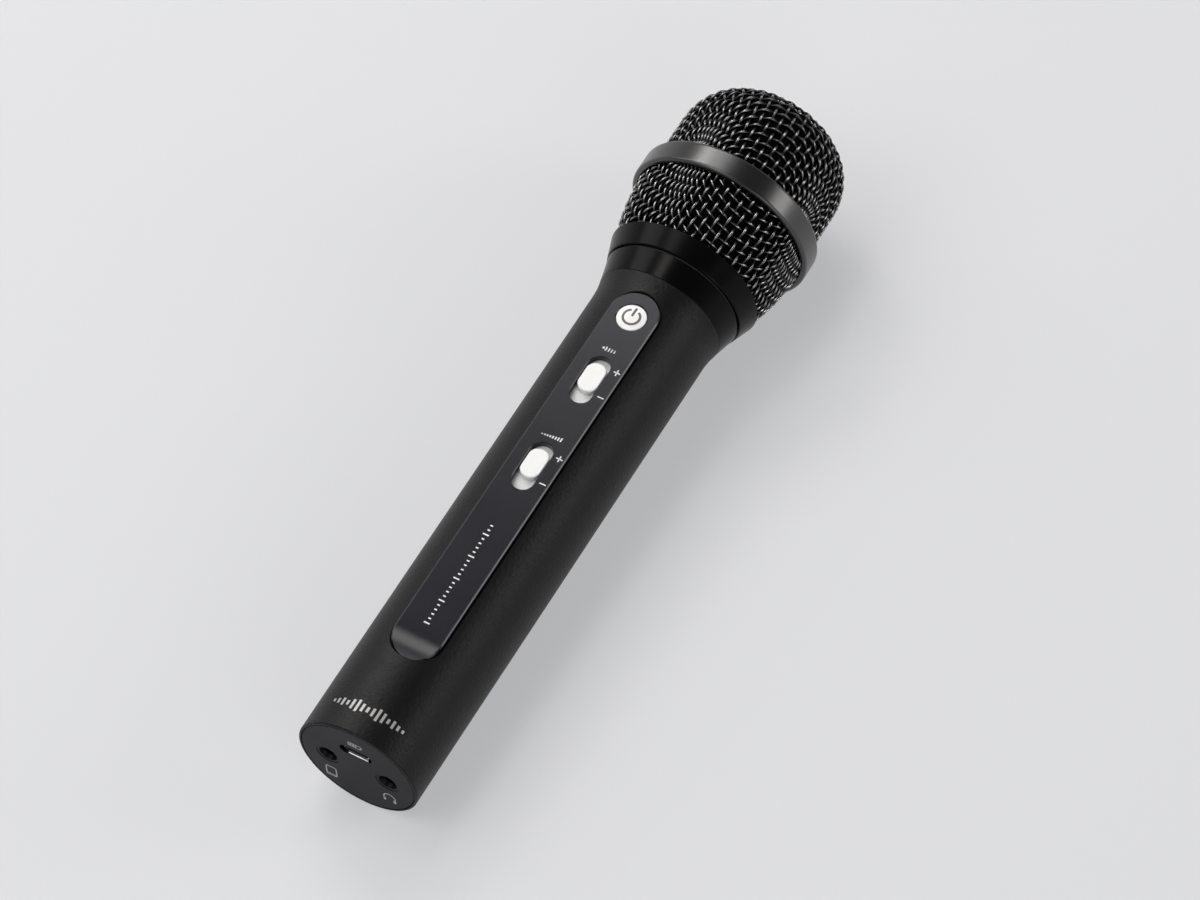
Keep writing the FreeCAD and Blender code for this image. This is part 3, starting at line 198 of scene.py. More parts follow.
class Finish:
    """One procedural material while it is made."""

    MIX_INPUTS = {"blend": 0, "first": 6, "second": 7}
    MIX_OUTPUT = 2
    OBJECT_PLACE = 3

    def __init__(self, name):
        self.material = bpy.data.materials.new(name)
        self.material.use_nodes = True
        self.tree = self.material.node_tree
        self.tree.nodes.clear()

    def node(self, kind, settings=None, inputs=None, output=0):
        """Add a node and give one of its outputs."""
        return Signal(self, add_node(self.tree, kind, settings, inputs).outputs[output])

    def place(self, stretch=(1, 1, 1)):
        """The point on the object, with a stretch for grain that runs one way."""
        point = self.node("ShaderNodeTexCoord", output=self.OBJECT_PLACE)
        return self.node("ShaderNodeMapping", inputs={"Vector": point, "Scale": stretch})

    def noise(self, place, width, detail=3.0, rough=0.55):
        """Soft noise whose patches are about width across."""
        return self.node("ShaderNodeTexNoise", inputs={
            "Vector": place, "Scale": 0.6 / width, "Detail": detail, "Roughness": rough})

    def cells(self, place, width, feature="F1"):
        """Distance into packed cells about width across."""
        return self.node("ShaderNodeTexVoronoi", {"feature": feature},
                         {"Vector": place, "Scale": 1.0 / width})

    def blend(self, amount, first, second):
        """Go from one colour to another."""
        where = self.MIX_INPUTS
        rgba = [(*c, 1.0) if isinstance(c, tuple) else c for c in (first, second)]
        return self.node("ShaderNodeMix", {"data_type": "RGBA"}, {
            where["blend"]: amount, where["first"]: rgba[0], where["second"]: rgba[1]},
            output=self.MIX_OUTPUT)

    def bump(self, height, depth):
        """A normal from a height of 0 to 1 that stands for depth metres."""
        return self.node("ShaderNodeBump", inputs={"Height": height, "Distance": depth,
                                                   "Strength": 1.0})

    def surface(self, base, rough, metal=0.0, normal=None, **more):
        """One Principled surface."""
        if isinstance(base, tuple):
            base = (*base, 1.0)
        inputs = {"Base Color": base, "Roughness": rough, "Metallic": metal}
        if normal is not None:
            inputs["Normal"] = normal
        inputs.update({key.replace("_", " "): value for key, value in more.items()})
        return self.node("ShaderNodeBsdfPrincipled", inputs=inputs)

    def close(self, *settings, **more):
        """End the material in one Principled surface."""
        return self.end(self.surface(*settings, **more))

    def end(self, surface):
        """End the material in a surface."""
        add_node(self.tree, "ShaderNodeOutputMaterial", inputs={"Surface": surface})
        return self.material


def scaled(base, share):
    """A colour with every channel scaled."""
    return tuple(channel * share for channel in base)


def grained(name, base, rough, grain, depth, metal=0.0, spread=0.1, stretch=(1, 1, 1), tone=0.85,
            **more):
    """A moulded or brushed finish: fine noise in its relief, gloss and tone."""
    finish = Finish(name)
    place = finish.place(stretch)
    fine = finish.noise(place, grain)
    wide = finish.noise(place, grain * 30, detail=2.0)
    return finish.close(
        finish.blend(wide, scaled(base, tone), base),
        (wide - 0.5) * spread + (fine - 0.5) * (spread * 0.5) + rough,
        metal, finish.bump(fine, depth), **more)


def soft_touch_shell(name, base):
    """Black soft-touch coat with a close leather-like grain."""
    finish = Finish(name)
    place = finish.place((1.0, 0.62, 0.62))
    pores = finish.cells(place, 0.55 * MM, "SMOOTH_F1")
    fine = finish.noise(place, 0.3 * MM, detail=4.0, rough=0.65)
    wide = finish.noise(finish.place(), 9 * MM, detail=2.0)
    relief = pores * 0.6 + fine * 0.6
    tone = finish.blend(fine * 0.6 + wide * 0.4, scaled(base, 0.6), scaled(base, 1.4))
    return finish.close(tone, (wide - 0.5) * 0.05 + (fine - 0.5) * 0.1 + 0.44, 0.0,
                        finish.bump(relief, 0.14 * MM), Specular_IOR_Level=0.2)


def woven_wire(name, base, worn):
    """Black coat on round wire, with a painted highlight where a wire passes over another: pale on
    the crossings' tops, dark between them.
    """
    finish = Finish(name)
    place = finish.place()
    lift = finish.node("ShaderNodeAttribute", {"attribute_name": "lift"}, output=2)
    plating = finish.noise(place, 0.5 * MM)
    wide = finish.noise(place, 7 * MM)
    # painted highlight: the colour turns pale towards the top of each crossing and stays dark
    # between the crossings
    top = lift ** 6 * (wide * 0.5 + 0.75)
    return finish.close(finish.blend(top, base, worn), plating * 0.08 + 0.14, 1.0,
                        finish.bump(plating, 0.006 * MM))


def open_foam(name, base):
    """Matte open-cell foam, with painted shade in its cells: darker towards each cell's middle."""
    finish = Finish(name)
    place = finish.place()
    cells = finish.cells(place, 0.5 * MM)
    fine = finish.noise(place, 0.3 * MM, detail=4.0)
    # painted shade: each cell's colour darkens towards its middle, where the bump dents it deepest
    return finish.close(finish.blend(cells, scaled(base, 0.25), base), 0.95, 0.0,
                        finish.bump(cells + fine * 0.4, 0.2 * MM), Specular_IOR_Level=0.05)


def board_green(name, base):
    """Solder mask over faint copper tracks."""
    finish = Finish(name)
    place = finish.place()
    tracks = finish.node("ShaderNodeTexBrick", {"offset": 0.37}, {
        "Vector": place, "Scale": 260.0, "Mortar Size": 0.03, "Color1": (0, 0, 0, 1),
        "Color2": (0.3, 0.3, 0.3, 1), "Mortar": (1, 1, 1, 1)}, output=1)
    fine = finish.noise(place, 0.6 * MM)
    tone = finish.blend(tracks, base, scaled(base, 1.9))
    return finish.close(tone, fine * 0.15 + 0.3, 0.0, finish.bump(tracks + fine * 0.1, 0.02 * MM),
                        Coat_Weight=0.3)


def studio_floor(name, base):
    """Pale plain floor; the eye and mirrors see half of it glow, which softens its shadows."""
    finish = Finish(name)
    fine = finish.noise(finish.place(), 6 * MM)
    lit = finish.surface(finish.blend(fine, scaled(base, 0.99), base), fine * 0.05 + 0.55,
                         Specular_IOR_Level=0.1)
    glow = finish.node("ShaderNodeEmission", inputs={"Color": (*base, 1.0)})
    seen = sum(finish.node("ShaderNodeLightPath", output=ray) for ray in
               ("Is Camera Ray", "Is Glossy Ray", "Is Transmission Ray"))
    return finish.end(finish.node("ShaderNodeMixShader", inputs={0: seen * 0.5, 1: lit, 2: glow}))


def all_finishes(colours):
    """Make every finish, keyed by the record's material slot or the mark that wears it."""
    tone = {key: tuple(getattr(colours, key)) for key in colours.__annotations__}
    plain = {m["slot"]: tuple(m["base_color"][:3]) for m in frame["record"]["materials"]}
    return {
        "barrel_shell": soft_touch_shell("soft_touch_shell", tone["barrel"]),
        "panel_plastic": grained("satin_panel", tone["panel"], 0.22, 0.25 * MM, 0.004 * MM,
                                 spread=0.04, Specular_IOR_Level=0.34),
        "tail_plastic": grained("fine_matte_plate", tone["plate"], 0.38, 0.18 * MM, 0.012 * MM,
                                Specular_IOR_Level=0.12),
        "dark_plastic": grained("moulded_black", plain["dark_plastic"], 0.45, 0.3 * MM, 0.02 * MM),
        "white_plastic": grained("satin_white", tone["button"], 0.32, 0.3 * MM, 0.004 * MM,
                                 spread=0.06, tone=0.96),
        "collar_plastic": grained("glossy_black", tone["collar"], 0.24, 1.2 * MM, 0.003 * MM,
                                  spread=0.05, Specular_IOR_Level=0.11),
        # The sockets' finishes are darker than their materials. The jacks' black is partly their
        # own black plastic and partly painted shade in the bores. The sleeves' nickel is painted
        # dark, a painted shade inside the socket holes.
        "socket_plastic": grained("socket_black", tone["collar"], 0.4, 0.3 * MM, 0.006 * MM,
                                  Specular_IOR_Level=0.12),
        "socket_metal": grained("socket_nickel_painted_dark", (0.09, 0.088, 0.085), 0.2, 0.3 * MM, 0.004 * MM,
                                metal=1.0),
        "black_metal": grained("satin_black_metal", tone["band"], 0.3, 0.35 * MM, 0.006 * MM,
                               spread=0.06, Specular_IOR_Level=0.7, Coat_Weight=0.2,
                               Coat_Roughness=0.2),
        "grille_wire": woven_wire("black_wire_coat_painted_glints", tone["wire"], tone["worn"]),
        "foam": open_foam("open_foam", tone["foam"]),
        "rubber": grained("soft_rubber", plain["rubber"], 0.7, 0.5 * MM, 0.03 * MM),
        "felt": grained("acoustic_felt", plain["felt"], 0.95, 0.25 * MM, 0.12 * MM, spread=0.05,
                        tone=0.4),
        "circuit_board": board_green("solder_mask", plain["circuit_board"]),
        "chip_plastic": grained("chip_black", plain["chip_plastic"], 0.55, 0.12 * MM, 0.01 * MM),
        "steel": grained("bright_steel", plain["steel"], 0.22, 0.4 * MM, 0.006 * MM, metal=1.0,
                         stretch=(0.15, 1, 1)),
        "can_metal": grained("drawn_aluminium", plain["can_metal"], 0.3, 0.3 * MM, 0.006 * MM,
                             metal=1.0, stretch=(1, 1, 0.2)),
        "contact_metal": grained("contact_brass", plain["contact_metal"], 0.25, 0.3 * MM,
                                 0.006 * MM, metal=1.0),
        "cell_wrap": grained("shrink_wrap", plain["cell_wrap"], 0.3, 2.5 * MM, 0.03 * MM,
                             Coat_Weight=0.3),
        "red_wire": grained("red_sleeve", plain["red_wire"], 0.4, 0.5 * MM, 0.01 * MM),
        "black_wire": grained("black_sleeve", plain["black_wire"], 0.45, 0.5 * MM, 0.01 * MM),
        "ribbon_film": grained("ribbon_film", plain["ribbon_film"], 0.3, 1.3 * MM, 0.01 * MM,
                               stretch=(0.02, 1, 1), tone=0.75),
        "lamp_lens": grained("lamp_lens", plain["lamp_lens"], 0.15, 0.8 * MM, 0.004 * MM,
                             Coat_Weight=0.5),
        "pale_plastic": grained("pale_moulding", plain["pale_plastic"], 0.45, 0.4 * MM, 0.01 * MM),
        "white_ink": grained("white_ink", tone["white_ink"], 0.5, 0.15 * MM, 0.004 * MM, tone=0.92),
        "silver_ink": grained("silver_ink", tone["silver_ink"], 0.42, 0.15 * MM, 0.006 * MM,
                              metal=0.35, tone=0.85),
        "grey_ink": grained("grey_ink", tone["grey_ink"], 0.5, 0.15 * MM, 0.004 * MM, tone=0.9),
    }


FINISHES = {}


def finish_for(slot):
    """The finished material of a slot, which the finishes operator makes."""
    if slot not in FINISHES:
        raise RuntimeError(f"run the finishes operator first: {slot} isn't made")
    return FINISHES[slot]


# ------------------------------------------------------------------ meshes

def new_object(name, mesh):
    """Link a mesh as an object at the origin."""
    item = bpy.data.objects.new(name, mesh)
    bpy.context.scene.collection.objects.link(item)
    return item


def mesh_of(name, points, faces=(), edges=()):
    """Make a mesh from rows of coordinates."""
    mesh = bpy.data.meshes.new(name)
    mesh.from_pydata([tuple(map(float, p)) for p in points], list(edges), list(faces))
    mesh.validate()
    mesh.update()
    return mesh


def finished(piece, slot, body, *nodes, smooth=True):
    """Give a piece its finish, its body and the CAD nodes that it stands for."""
    if not piece.data.materials:
        piece.data.materials.append(finish_for(slot))
    if smooth:
        piece.data.shade_smooth()
    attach(piece, body)
    if nodes:
        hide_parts(*nodes)
    return piece


class Tree:
    """One Geometry Nodes tree with named inputs."""

    def __init__(self, name, inputs):
        self.tree = bpy.data.node_groups.new(name, "GeometryNodeTree")
        face = self.tree.interface
        face.new_socket(name="Geometry", in_out="INPUT", socket_type="NodeSocketGeometry")
        for label, kind in inputs.items():
            face.new_socket(name=label, in_out="INPUT", socket_type=f"NodeSocket{kind}")
        face.new_socket(name="Geometry", in_out="OUTPUT", socket_type="NodeSocketGeometry")
        self.entry = self.tree.nodes.new("NodeGroupInput")

    def take(self, label):
        return self.entry.outputs[label]

    def node(self, kind, settings=None, inputs=None, output=0):
        """Add a node and give one of its outputs."""
        return add_node(self.tree, kind, settings, inputs).outputs[output]

    def close(self, geometry):
        """End in realised geometry that wears the tree's finish."""
        real = self.node("GeometryNodeRealizeInstances", inputs={"Geometry": geometry})
        dressed = self.node("GeometryNodeSetMaterial",
                            inputs={"Geometry": real, "Material": self.take("Finish")})
        add_node(self.tree, "NodeGroupOutput", inputs={"Geometry": dressed})
        return self.tree


def grown(name, start, tree, values):
    """Run a tree on a start mesh and give the result as one plain object."""
    seed = new_object(name + "_start", start)
    modifier = seed.modifiers.new("grow", "NODES")
    modifier.node_group = tree
    for item in tree.interface.items_tree:
        if item.item_type == "SOCKET" and item.in_out == "INPUT" and item.name in values:
            modifier[item.identifier] = values[item.name]
    ready = seed.evaluated_get(bpy.context.evaluated_depsgraph_get())
    mesh = bpy.data.meshes.new_from_object(ready)
    mesh.name = name
    bpy.data.objects.remove(seed)
    bpy.data.meshes.remove(start)
    return new_object(name, mesh)


def wire_tree():
    """Paths become round wires."""
    tree = Tree("round_wires", {"Wire radius": "Float", "Wire sides": "Int", "Finish": "Material"})
    path = tree.node("GeometryNodeMeshToCurve", inputs={"Mesh": tree.take("Geometry")})
    ring = tree.node("GeometryNodeCurvePrimitiveCircle", {"mode": "RADIUS"}, {
        "Resolution": tree.take("Wire sides"), "Radius": tree.take("Wire radius")})
    wires = tree.node("GeometryNodeCurveToMesh", inputs={
        "Curve": path, "Profile Curve": ring, "Fill Caps": True})
    return tree.close(tree.node("GeometryNodeSetShadeSmooth", inputs={"Geometry": wires}))


def bar_tree():
    """Points become bars that take their length from the points."""
    tree = Tree("printed_bars", {"Bar width": "Float", "Bar thickness": "Float",
                                 "Finish": "Material"})
    size = tree.node("ShaderNodeCombineXYZ", inputs={
        "X": tree.take("Bar width"), "Y": 1.0, "Z": tree.take("Bar thickness")})
    bar = tree.node("GeometryNodeMeshCube", inputs={"Size": size})
    tall = tree.node("GeometryNodeInputNamedAttribute", {"data_type": "FLOAT"}, {"Name": "tall"})
    scale = tree.node("ShaderNodeCombineXYZ", inputs={"X": 1.0, "Y": tall, "Z": 1.0})
    return tree.close(tree.node("GeometryNodeInstanceOnPoints", inputs={
        "Points": tree.take("Geometry"), "Instance": bar, "Scale": scale}))


# ------------------------------------------------------------------ woven cloth

class Form:
    """A turned form: a profile of (x, radius) points that starts on the axis."""

    def __init__(self, profile):
        self.profile = np.array(profile, float)
        run = np.linalg.norm(np.diff(self.profile, axis=0), axis=1)
        self.along = np.concatenate([[0.0], np.cumsum(run)])

    def at(self, distance):
        """Station and radius at a distance down the profile."""
        return (np.interp(distance, self.along, self.profile[:, 0]),
                np.interp(distance, self.along, self.profile[:, 1]))

    def distance_at(self, x):
        """Distance down the profile to a station."""
        order = np.argsort(self.profile[:, 0])
        return float(np.interp(x, self.profile[order, 0], self.along[order]))

    def points(self, chart):
        """Points on the form for flat chart coordinates, whose length is distance from the pole."""
        far = np.maximum(np.linalg.norm(chart, axis=-1), 1e-9)
        x, radius = self.at(far)
        return np.stack([x, radius * chart[..., 0] / far, radius * chart[..., 1] / far], axis=-1)

    def frame_at(self, chart):
        """Unit directions down the profile and round the form."""
        far = np.maximum(np.linalg.norm(chart, axis=-1), 1e-9)
        small = 0.05 * MM
        x0, r0 = self.at(np.maximum(far - small, 0))
        x1, r1 = self.at(far + small)
        slope = np.stack([x1 - x0, r1 - r0], axis=-1)
        slope /= np.linalg.norm(slope, axis=-1, keepdims=True)
        c, s = chart[..., 0] / far, chart[..., 1] / far
        down = np.stack([slope[..., 0], slope[..., 1] * c, slope[..., 1] * s], axis=-1)
        round_it = np.stack([np.zeros_like(c), -s, c], axis=-1)
        return down, round_it

    def outward(self, chart):
        """Unit normals that point away from the form's inside."""
        down, round_it = self.frame_at(chart)
        normal = np.cross(down, round_it)
        inside = self.profile[:, 0].mean()
        away = self.points(chart) - np.array([inside, 0, 0])
        flip = np.sign(np.sum(normal * away, axis=-1, keepdims=True))
        return normal * np.where(flip == 0, 1, flip)


def net_quarter(form, pitch, count):
    """A quarter of a square cloth on a form: every side of every cell is one pitch long."""
    chart = np.zeros((count + 1, count + 1, 2))
    chart[:, 0, 0] = chart[0, :, 1] = np.arange(count + 1) * pitch
    small, rounds, least_area, leap = 0.001 * MM, 12, 0.05, 0.4 * pitch
    for ring in range(2, 2 * count + 1):
        i = np.arange(max(1, ring - count), min(count, ring - 1) + 1)
        j = ring - i
        spot = chart[i - 1, j] + chart[i, j - 1] - chart[i - 1, j - 1]
        ends = [form.points(chart[i - 1, j]), form.points(chart[i, j - 1])]

        def miss(where):
            place = form.points(where)
            return np.stack([np.linalg.norm(place - end, axis=-1) - pitch for end in ends], axis=-1)

        for _ in range(rounds):
            here = miss(spot)
            by_u, by_v = [(miss(spot + np.array(way) * small) - here) / small
                          for way in ((1, 0), (0, 1))]
            area = by_u[:, 0] * by_v[:, 1] - by_v[:, 0] * by_u[:, 1]
            area = np.where(np.abs(area) < least_area, np.copysign(least_area, area), area)
            move = np.stack([by_v[:, 1] * here[:, 0] - by_v[:, 0] * here[:, 1],
                             by_u[:, 0] * here[:, 1] - by_u[:, 1] * here[:, 0]], axis=-1)
            move /= area[:, None]
            far = np.maximum(np.linalg.norm(move, axis=-1, keepdims=True), 1e-12)
            spot = spot - move * np.minimum(1, leap / far)
        chart[i, j] = spot
    return chart


def drape(form, pitch, reach, turn, ease):
    """Draw a square cloth over a form: its cells shear, and ease takes a share of that off."""
    count = int(reach / pitch) + 2
    steps = np.arange(count + 1) * pitch
    flat = np.stack(np.meshgrid(steps, steps, indexing="ij"), axis=-1)
    quarter = net_quarter(form, pitch, count) * (1 - ease) + flat * ease
    index = np.arange(-count, count + 1)
    i, j = np.meshgrid(index, index, indexing="ij")
    u, v = np.moveaxis(quarter[abs(i), abs(j)], -1, 0)
    u, v = u * np.sign(i), v * np.sign(j)
    chart = np.stack([u * math.cos(turn) - v * math.sin(turn),
                      u * math.sin(turn) + v * math.cos(turn)], axis=-1)
    return chart, np.hypot(u, v) <= reach


def wire_paths(form, chart, real, near, far, cloth):
    """Points, edges and lifts of every wire, weaving over and under, between two distances."""
    points, edges, lifts = [], [], []
    share = np.arange(cloth.steps) / cloth.steps
    count = chart.shape[0]
    for way in range(2):
        grid = chart if way == 0 else chart.transpose(1, 0, 2)
        good = real if way == 0 else real.T
        for line in range(count):
            row = grid[line]
            run = np.flatnonzero(good[line])
            if len(run) < 3:
                continue
            row = row[run[0]:run[-1] + 1]
            before = np.vstack([row[:1] * 2 - row[1:2], row[:-2]])
            after = np.vstack([row[2:], row[-1:] * 2 - row[-2:-1]])
            path = [catmull(b, p, q, a, share) for b, p, q, a in
                    zip(before, row[:-1], row[1:], after)]
            path = np.concatenate(path + [row[-1:]])
            phase = np.arange(len(path)) / cloth.steps + run[0] + line + way
            swing = np.cos(math.pi * phase)
            place = form.points(path) + form.outward(path) * (cloth.crimp * swing)[:, None]
            distance = np.linalg.norm(path, axis=-1)
            keep = (distance >= near) & (distance <= far)
            last = None
            for here, lift, kept in zip(place, (swing + 1) / 2, keep):
                if kept:
                    points.append(here)
                    lifts.append(lift)
                    if last is not None:
                        edges.append((last, len(points) - 1))
                    last = len(points) - 1
                else:
                    last = None
    return points, edges, lifts


def catmull(before, start, end, after, share):
    """A smooth run of chart points from start towards end."""
    t = share[:, None]
    return 0.5 * (2 * start + (end - before) * t
                  + (2 * before - 5 * start + 4 * end - after) * t ** 2
                  + (3 * start - before - 3 * end + after) * t ** 3)


def arc(centre, radius, first, last, count=24):
    """Points (x, r) on an arc between two angles, measured from +x towards +r."""
    turn = np.linspace(first, last, count)
    return [(centre[0] + radius * math.cos(a), centre[1] + radius * math.sin(a)) for a in turn]


def dome_profile(cloth, inset, low):
    """The dome from its pole down to a station, inset from the outer face."""
    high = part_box("upper_grille")[1]
    wall = high.z
    side, run = wall - cloth.shoulder, cloth.crown - cloth.shoulder
    centre = high.x - cloth.crown
    spring = centre + math.sqrt(run * run - side * side)
    join = math.asin(side / run)
    crown = arc((centre, 0.0), cloth.crown - inset, 0.0, join)
    shoulder = arc((spring, side), cloth.shoulder - inset, join, math.pi / 2)
    return crown + shoulder[1:] + [(low, wall - inset)]


def basket_profile(cloth, inset):
    """The lower basket's wall from its foot to the rib, inset from the outer face."""
    low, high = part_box("lower_grille")
    ring_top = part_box("head_ring")[1].x
    rise, run = high.z - cloth.foot, high.x - ring_top
    bulge = (run * run + rise * rise) / (2 * rise)
    stations = np.linspace(low.x, high.x, 24)
    return [(x, high.z - bulge + math.sqrt((bulge - inset) ** 2 - (high.x - x) ** 2))
            for x in stations]


def cup_profile(cloth, inset):
    """The cup that the basket's cloth was drawn as: a flat floor, a round corner, then the wall."""
    wall = basket_profile(cloth, inset)
    foot_x, foot_r = wall[0]
    corner_share = 0.35
    corner = foot_r * corner_share
    floor_x = foot_x - corner
    bend = arc((floor_x + corner, foot_r - corner), corner, math.pi, math.pi / 2)
    beyond = (wall[-1][0] + 3 * foot_r, wall[-1][1])
    return [(floor_x, 0.0)] + bend[:-1] + wall + [beyond]


# ------------------------------------------------------------------ foam

FOAM_SIDES = 110
SKIN_STEP, LINING_STEP = 0.9 * MM, 1.3 * MM
TINY = 1e-7


def turned_mesh(name, loop, dent):
    """Turn a closed loop of (x, radius) points about the axis, dented by a fixed noise."""
    around, count = FOAM_SIDES, len(loop)
    angles = np.arange(around) * 2 * math.pi / around
    ring = np.stack([np.cos(angles), np.sin(angles)], axis=-1)
    points = [(x, radius * c, radius * s) for x, radius in loop for c, s in ring]
    faces = []
    for i in range(count):
        j = (i + 1) % count
        if loop[i][1] < TINY and loop[j][1] < TINY:
            continue
        for k in range(around):
            n = (k + 1) % around
            faces.append((i * around + k, i * around + n, j * around + n, j * around + k))
    mesh = mesh_of(name, points, faces)
    weld(mesh)
    normals = [v.normal.copy() for v in mesh.vertices]
    for vertex, normal in zip(mesh.vertices, normals):
        vertex.co -= normal * dent(vertex.co)
    mesh.update()
    return mesh


def weld(mesh):
    """Merge doubled points and point the faces outwards."""
    work = bmesh.new()
    work.from_mesh(mesh)
    bmesh.ops.remove_doubles(work, verts=work.verts, dist=TINY)
    bmesh.ops.recalc_face_normals(work, faces=work.faces)
    work.to_mesh(mesh)
    work.free()


def foam_dent(foam):
    """How deep the foam's cells dent its skin at a point."""
    def dent(point):
        share = noise.cell(point / (foam.cell * 0.6)) * 0.5 + 0.5
        soft = noise.noise(point / foam.cell) * 0.5 + 0.5
        return foam.grain * (0.35 * share + 0.65 * soft)
    return dent


def resampled(path, step):
    """Even points along an open path."""
    form = Form(path)
    count = max(int(form.along[-1] / step), 2)
    return list(zip(*form.at(np.linspace(0, form.along[-1], count + 1))))


# ------------------------------------------------------------------ printed marks

class Sheet:
    """Flat shapes in metres, read from the front: right, then up."""

    def __init__(self):
        self.points, self.faces = [], []

    def polygon(self, corners):
        """Add a filled shape whose corners turn left."""
        area = sum(a[0] * b[1] - b[0] * a[1] for a, b in zip(corners, corners[1:] + corners[:1]))
        if area < 0:
            corners = corners[::-1]
        first = len(self.points)
        self.points += [tuple(c) for c in corners]
        self.faces.append(tuple(range(first, first + len(corners))))

    def stroke(self, path, width, closed=False):
        """Add a line of constant width along a path."""
        path = np.array(path, float)
        if closed:
            ahead = np.roll(path, -1, axis=0) - np.roll(path, 1, axis=0)
        else:
            ahead = np.gradient(path, axis=0)
        ahead /= np.linalg.norm(ahead, axis=1, keepdims=True)
        left = np.stack([-ahead[:, 1], ahead[:, 0]], axis=-1) * width / 2
        if closed and len(path) < 12 or not closed and len(path) > 2:
            left = left * self.mitres(path, closed)[:, None]
        first, count = len(self.points), len(path)
        for spot, side in zip(path, left):
            self.points += [tuple(spot + side), tuple(spot - side)]
        for i in range(count if closed else count - 1):
            j = (i + 1) % count
            self.faces.append((first + 2 * i + 1, first + 2 * j + 1, first + 2 * j, first + 2 * i))

    @staticmethod
    def mitres(path, closed):
        """How much longer the offset is at each corner."""
        before, after = path - np.roll(path, 1, axis=0), np.roll(path, -1, axis=0) - path
        if not closed:
            before[0], after[-1] = after[0], before[-1]
        before /= np.linalg.norm(before, axis=1, keepdims=True)
        after /= np.linalg.norm(after, axis=1, keepdims=True)
        half = np.arccos(np.clip(np.sum(before * after, axis=1), -1, 1)) / 2
        return 1 / np.maximum(np.cos(half), 0.4)

    def slab(self, name, marks, where):
        """Make the shapes a thin closed mesh; where() puts (right, up, out) on the object."""
        count = len(self.points)
        spots = [where(r, u, marks.proud) for r, u in self.points]
        spots += [where(r, u, -marks.sunk) for r, u in self.points]
        faces = [tuple(f) for f in self.faces]
        faces += [tuple(i + count for i in reversed(f)) for f in self.faces]
        seen = {}
        for face in self.faces:
            for a, b in zip(face, face[1:] + face[:1]):
                seen[(a, b)] = seen.get((a, b), 0) + 1
        for a, b in seen:
            if (b, a) not in seen:
                faces.append((b, a, a + count, b + count))
        return new_object(name, mesh_of(name, spots, faces))

    def printed(self, name, marks, where, ink, body="handle"):
        """Print the shapes on a body."""
        return finished(self.slab(name, marks, where), ink, body, smooth=False)


def ring_points(centre, radius, first, last, count):
    """Points on an arc; angles in degrees from the right, turning left."""
    return arc(centre, radius, math.radians(first), math.radians(last), count)


def rectangle(left, low, right, high):
    """Corners of an upright rectangle, turning left."""
    return [(left, low), (right, low), (right, high), (left, high)]


def rounded_rectangle(centre, wide, tall, corner, count=5):
    """Corners of an upright rectangle with round corners, turning left."""
    path = []
    for sx, sy, start in ((1, 1, 0), (-1, 1, 90), (-1, -1, 180), (1, -1, 270)):
        middle = (centre[0] + sx * (wide / 2 - corner), centre[1] + sy * (tall / 2 - corner))
        path += ring_points(middle, corner, start, start + 90, count)
    return path


def on_panel(x, y=0.0):
    """Places a mark on the panel's flat top, upright when the head is up."""
    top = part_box("control_panel")[1].z
    return lambda right, up, out: (x + up, y - right, top + out)


def along_panel(x, y=0.0):
    """Places a mark on the panel's flat top, reading towards the head."""
    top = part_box("control_panel")[1].z
    return lambda right, up, out: (x + right, y + up, top + out)


def on_barrel(x, radius):
    """Wraps a mark round the barrel, centred over the panel."""
    def where(right, up, out):
        turn = right / radius
        return (x + up, -(radius + out) * math.sin(turn), (radius + out) * math.cos(turn))
    return where


def on_tail(y, z):
    """Places a mark on the tail plate, upright when the panel is up."""
    return lambda right, up, out: (-out, y - right, z + up)


def on_button():
    """Places a mark on the button's domed top."""
    low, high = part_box("power_button")
    x, top = (low.x + high.x) / 2, high.z
    flat, crown = 3.8 * MM, 0.35 * MM
    bend = (flat * flat + crown * crown) / (2 * crown)
    return lambda right, up, out: (
        x + up, -right, top - bend + math.sqrt(bend * bend - right * right - up * up) + out)


# ------------------------------------------------------------------ operators

class MIC_OT_finishes(bpy.types.Operator):
    """Make every finish and put it on the CAD nodes"""
    bl_idname = "mic.finishes"
    bl_label = "Finishes"

    OWN = {"tail_plate": "tail_plastic", "head_ring": "collar_plastic",
           "phone_jack": "socket_plastic", "headphone_jack": "socket_plastic",
           "phone_jack_sleeve": "socket_metal", "headphone_jack_sleeve": "socket_metal"}

    def execute(self, context):
        FINISHES.update(all_finishes(context.scene.mic_colours))
        for entry in frame["record"]["subparts"]:
            node = entry["node"]
            slot = self.OWN.get(node, entry["material_slot"])
            mesh = frame["nodes"][node].data
            mesh.materials.clear()
            mesh.materials.append(finish_for(slot))
        return {"FINISHED"}


def make_cloth(name, form, near, far, turn, cloth, node):
    """Drape a cloth over a form, three cells past its edge, and make its wires one piece."""
    chart, real = drape(form, cloth.pitch, far + 3 * cloth.pitch, turn, cloth.ease)
    points, edges, lifts = wire_paths(form, chart, real, near, far, cloth)
    paths = mesh_of(name + "_paths", points, edges=edges)
    paths.attributes.new("lift", "FLOAT", "POINT").data.foreach_set("value", lifts)
    piece = grown(name, paths, wire_tree(), {
        "Wire radius": cloth.wire_radius, "Wire sides": cloth.sides,
        "Finish": finish_for("grille_wire")})
    return finished(piece, "grille_wire", "head", node)


class MIC_OT_dome_cloth(bpy.types.Operator):
    """Weave the dome's wire cloth"""
    bl_idname = "mic.dome_cloth"
    bl_label = "Dome cloth"

    def execute(self, context):
        cloth = context.scene.mic_cloth
        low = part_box("upper_grille")[0].x
        form = Form(dome_profile(cloth, cloth.depth, low - 60 * MM))
        far = form.distance_at(low) - cloth.dome_rim
        make_cloth("dome_cloth", form, 0.0, far, cloth.dome_turn, cloth, "upper_grille")
        return {"FINISHED"}


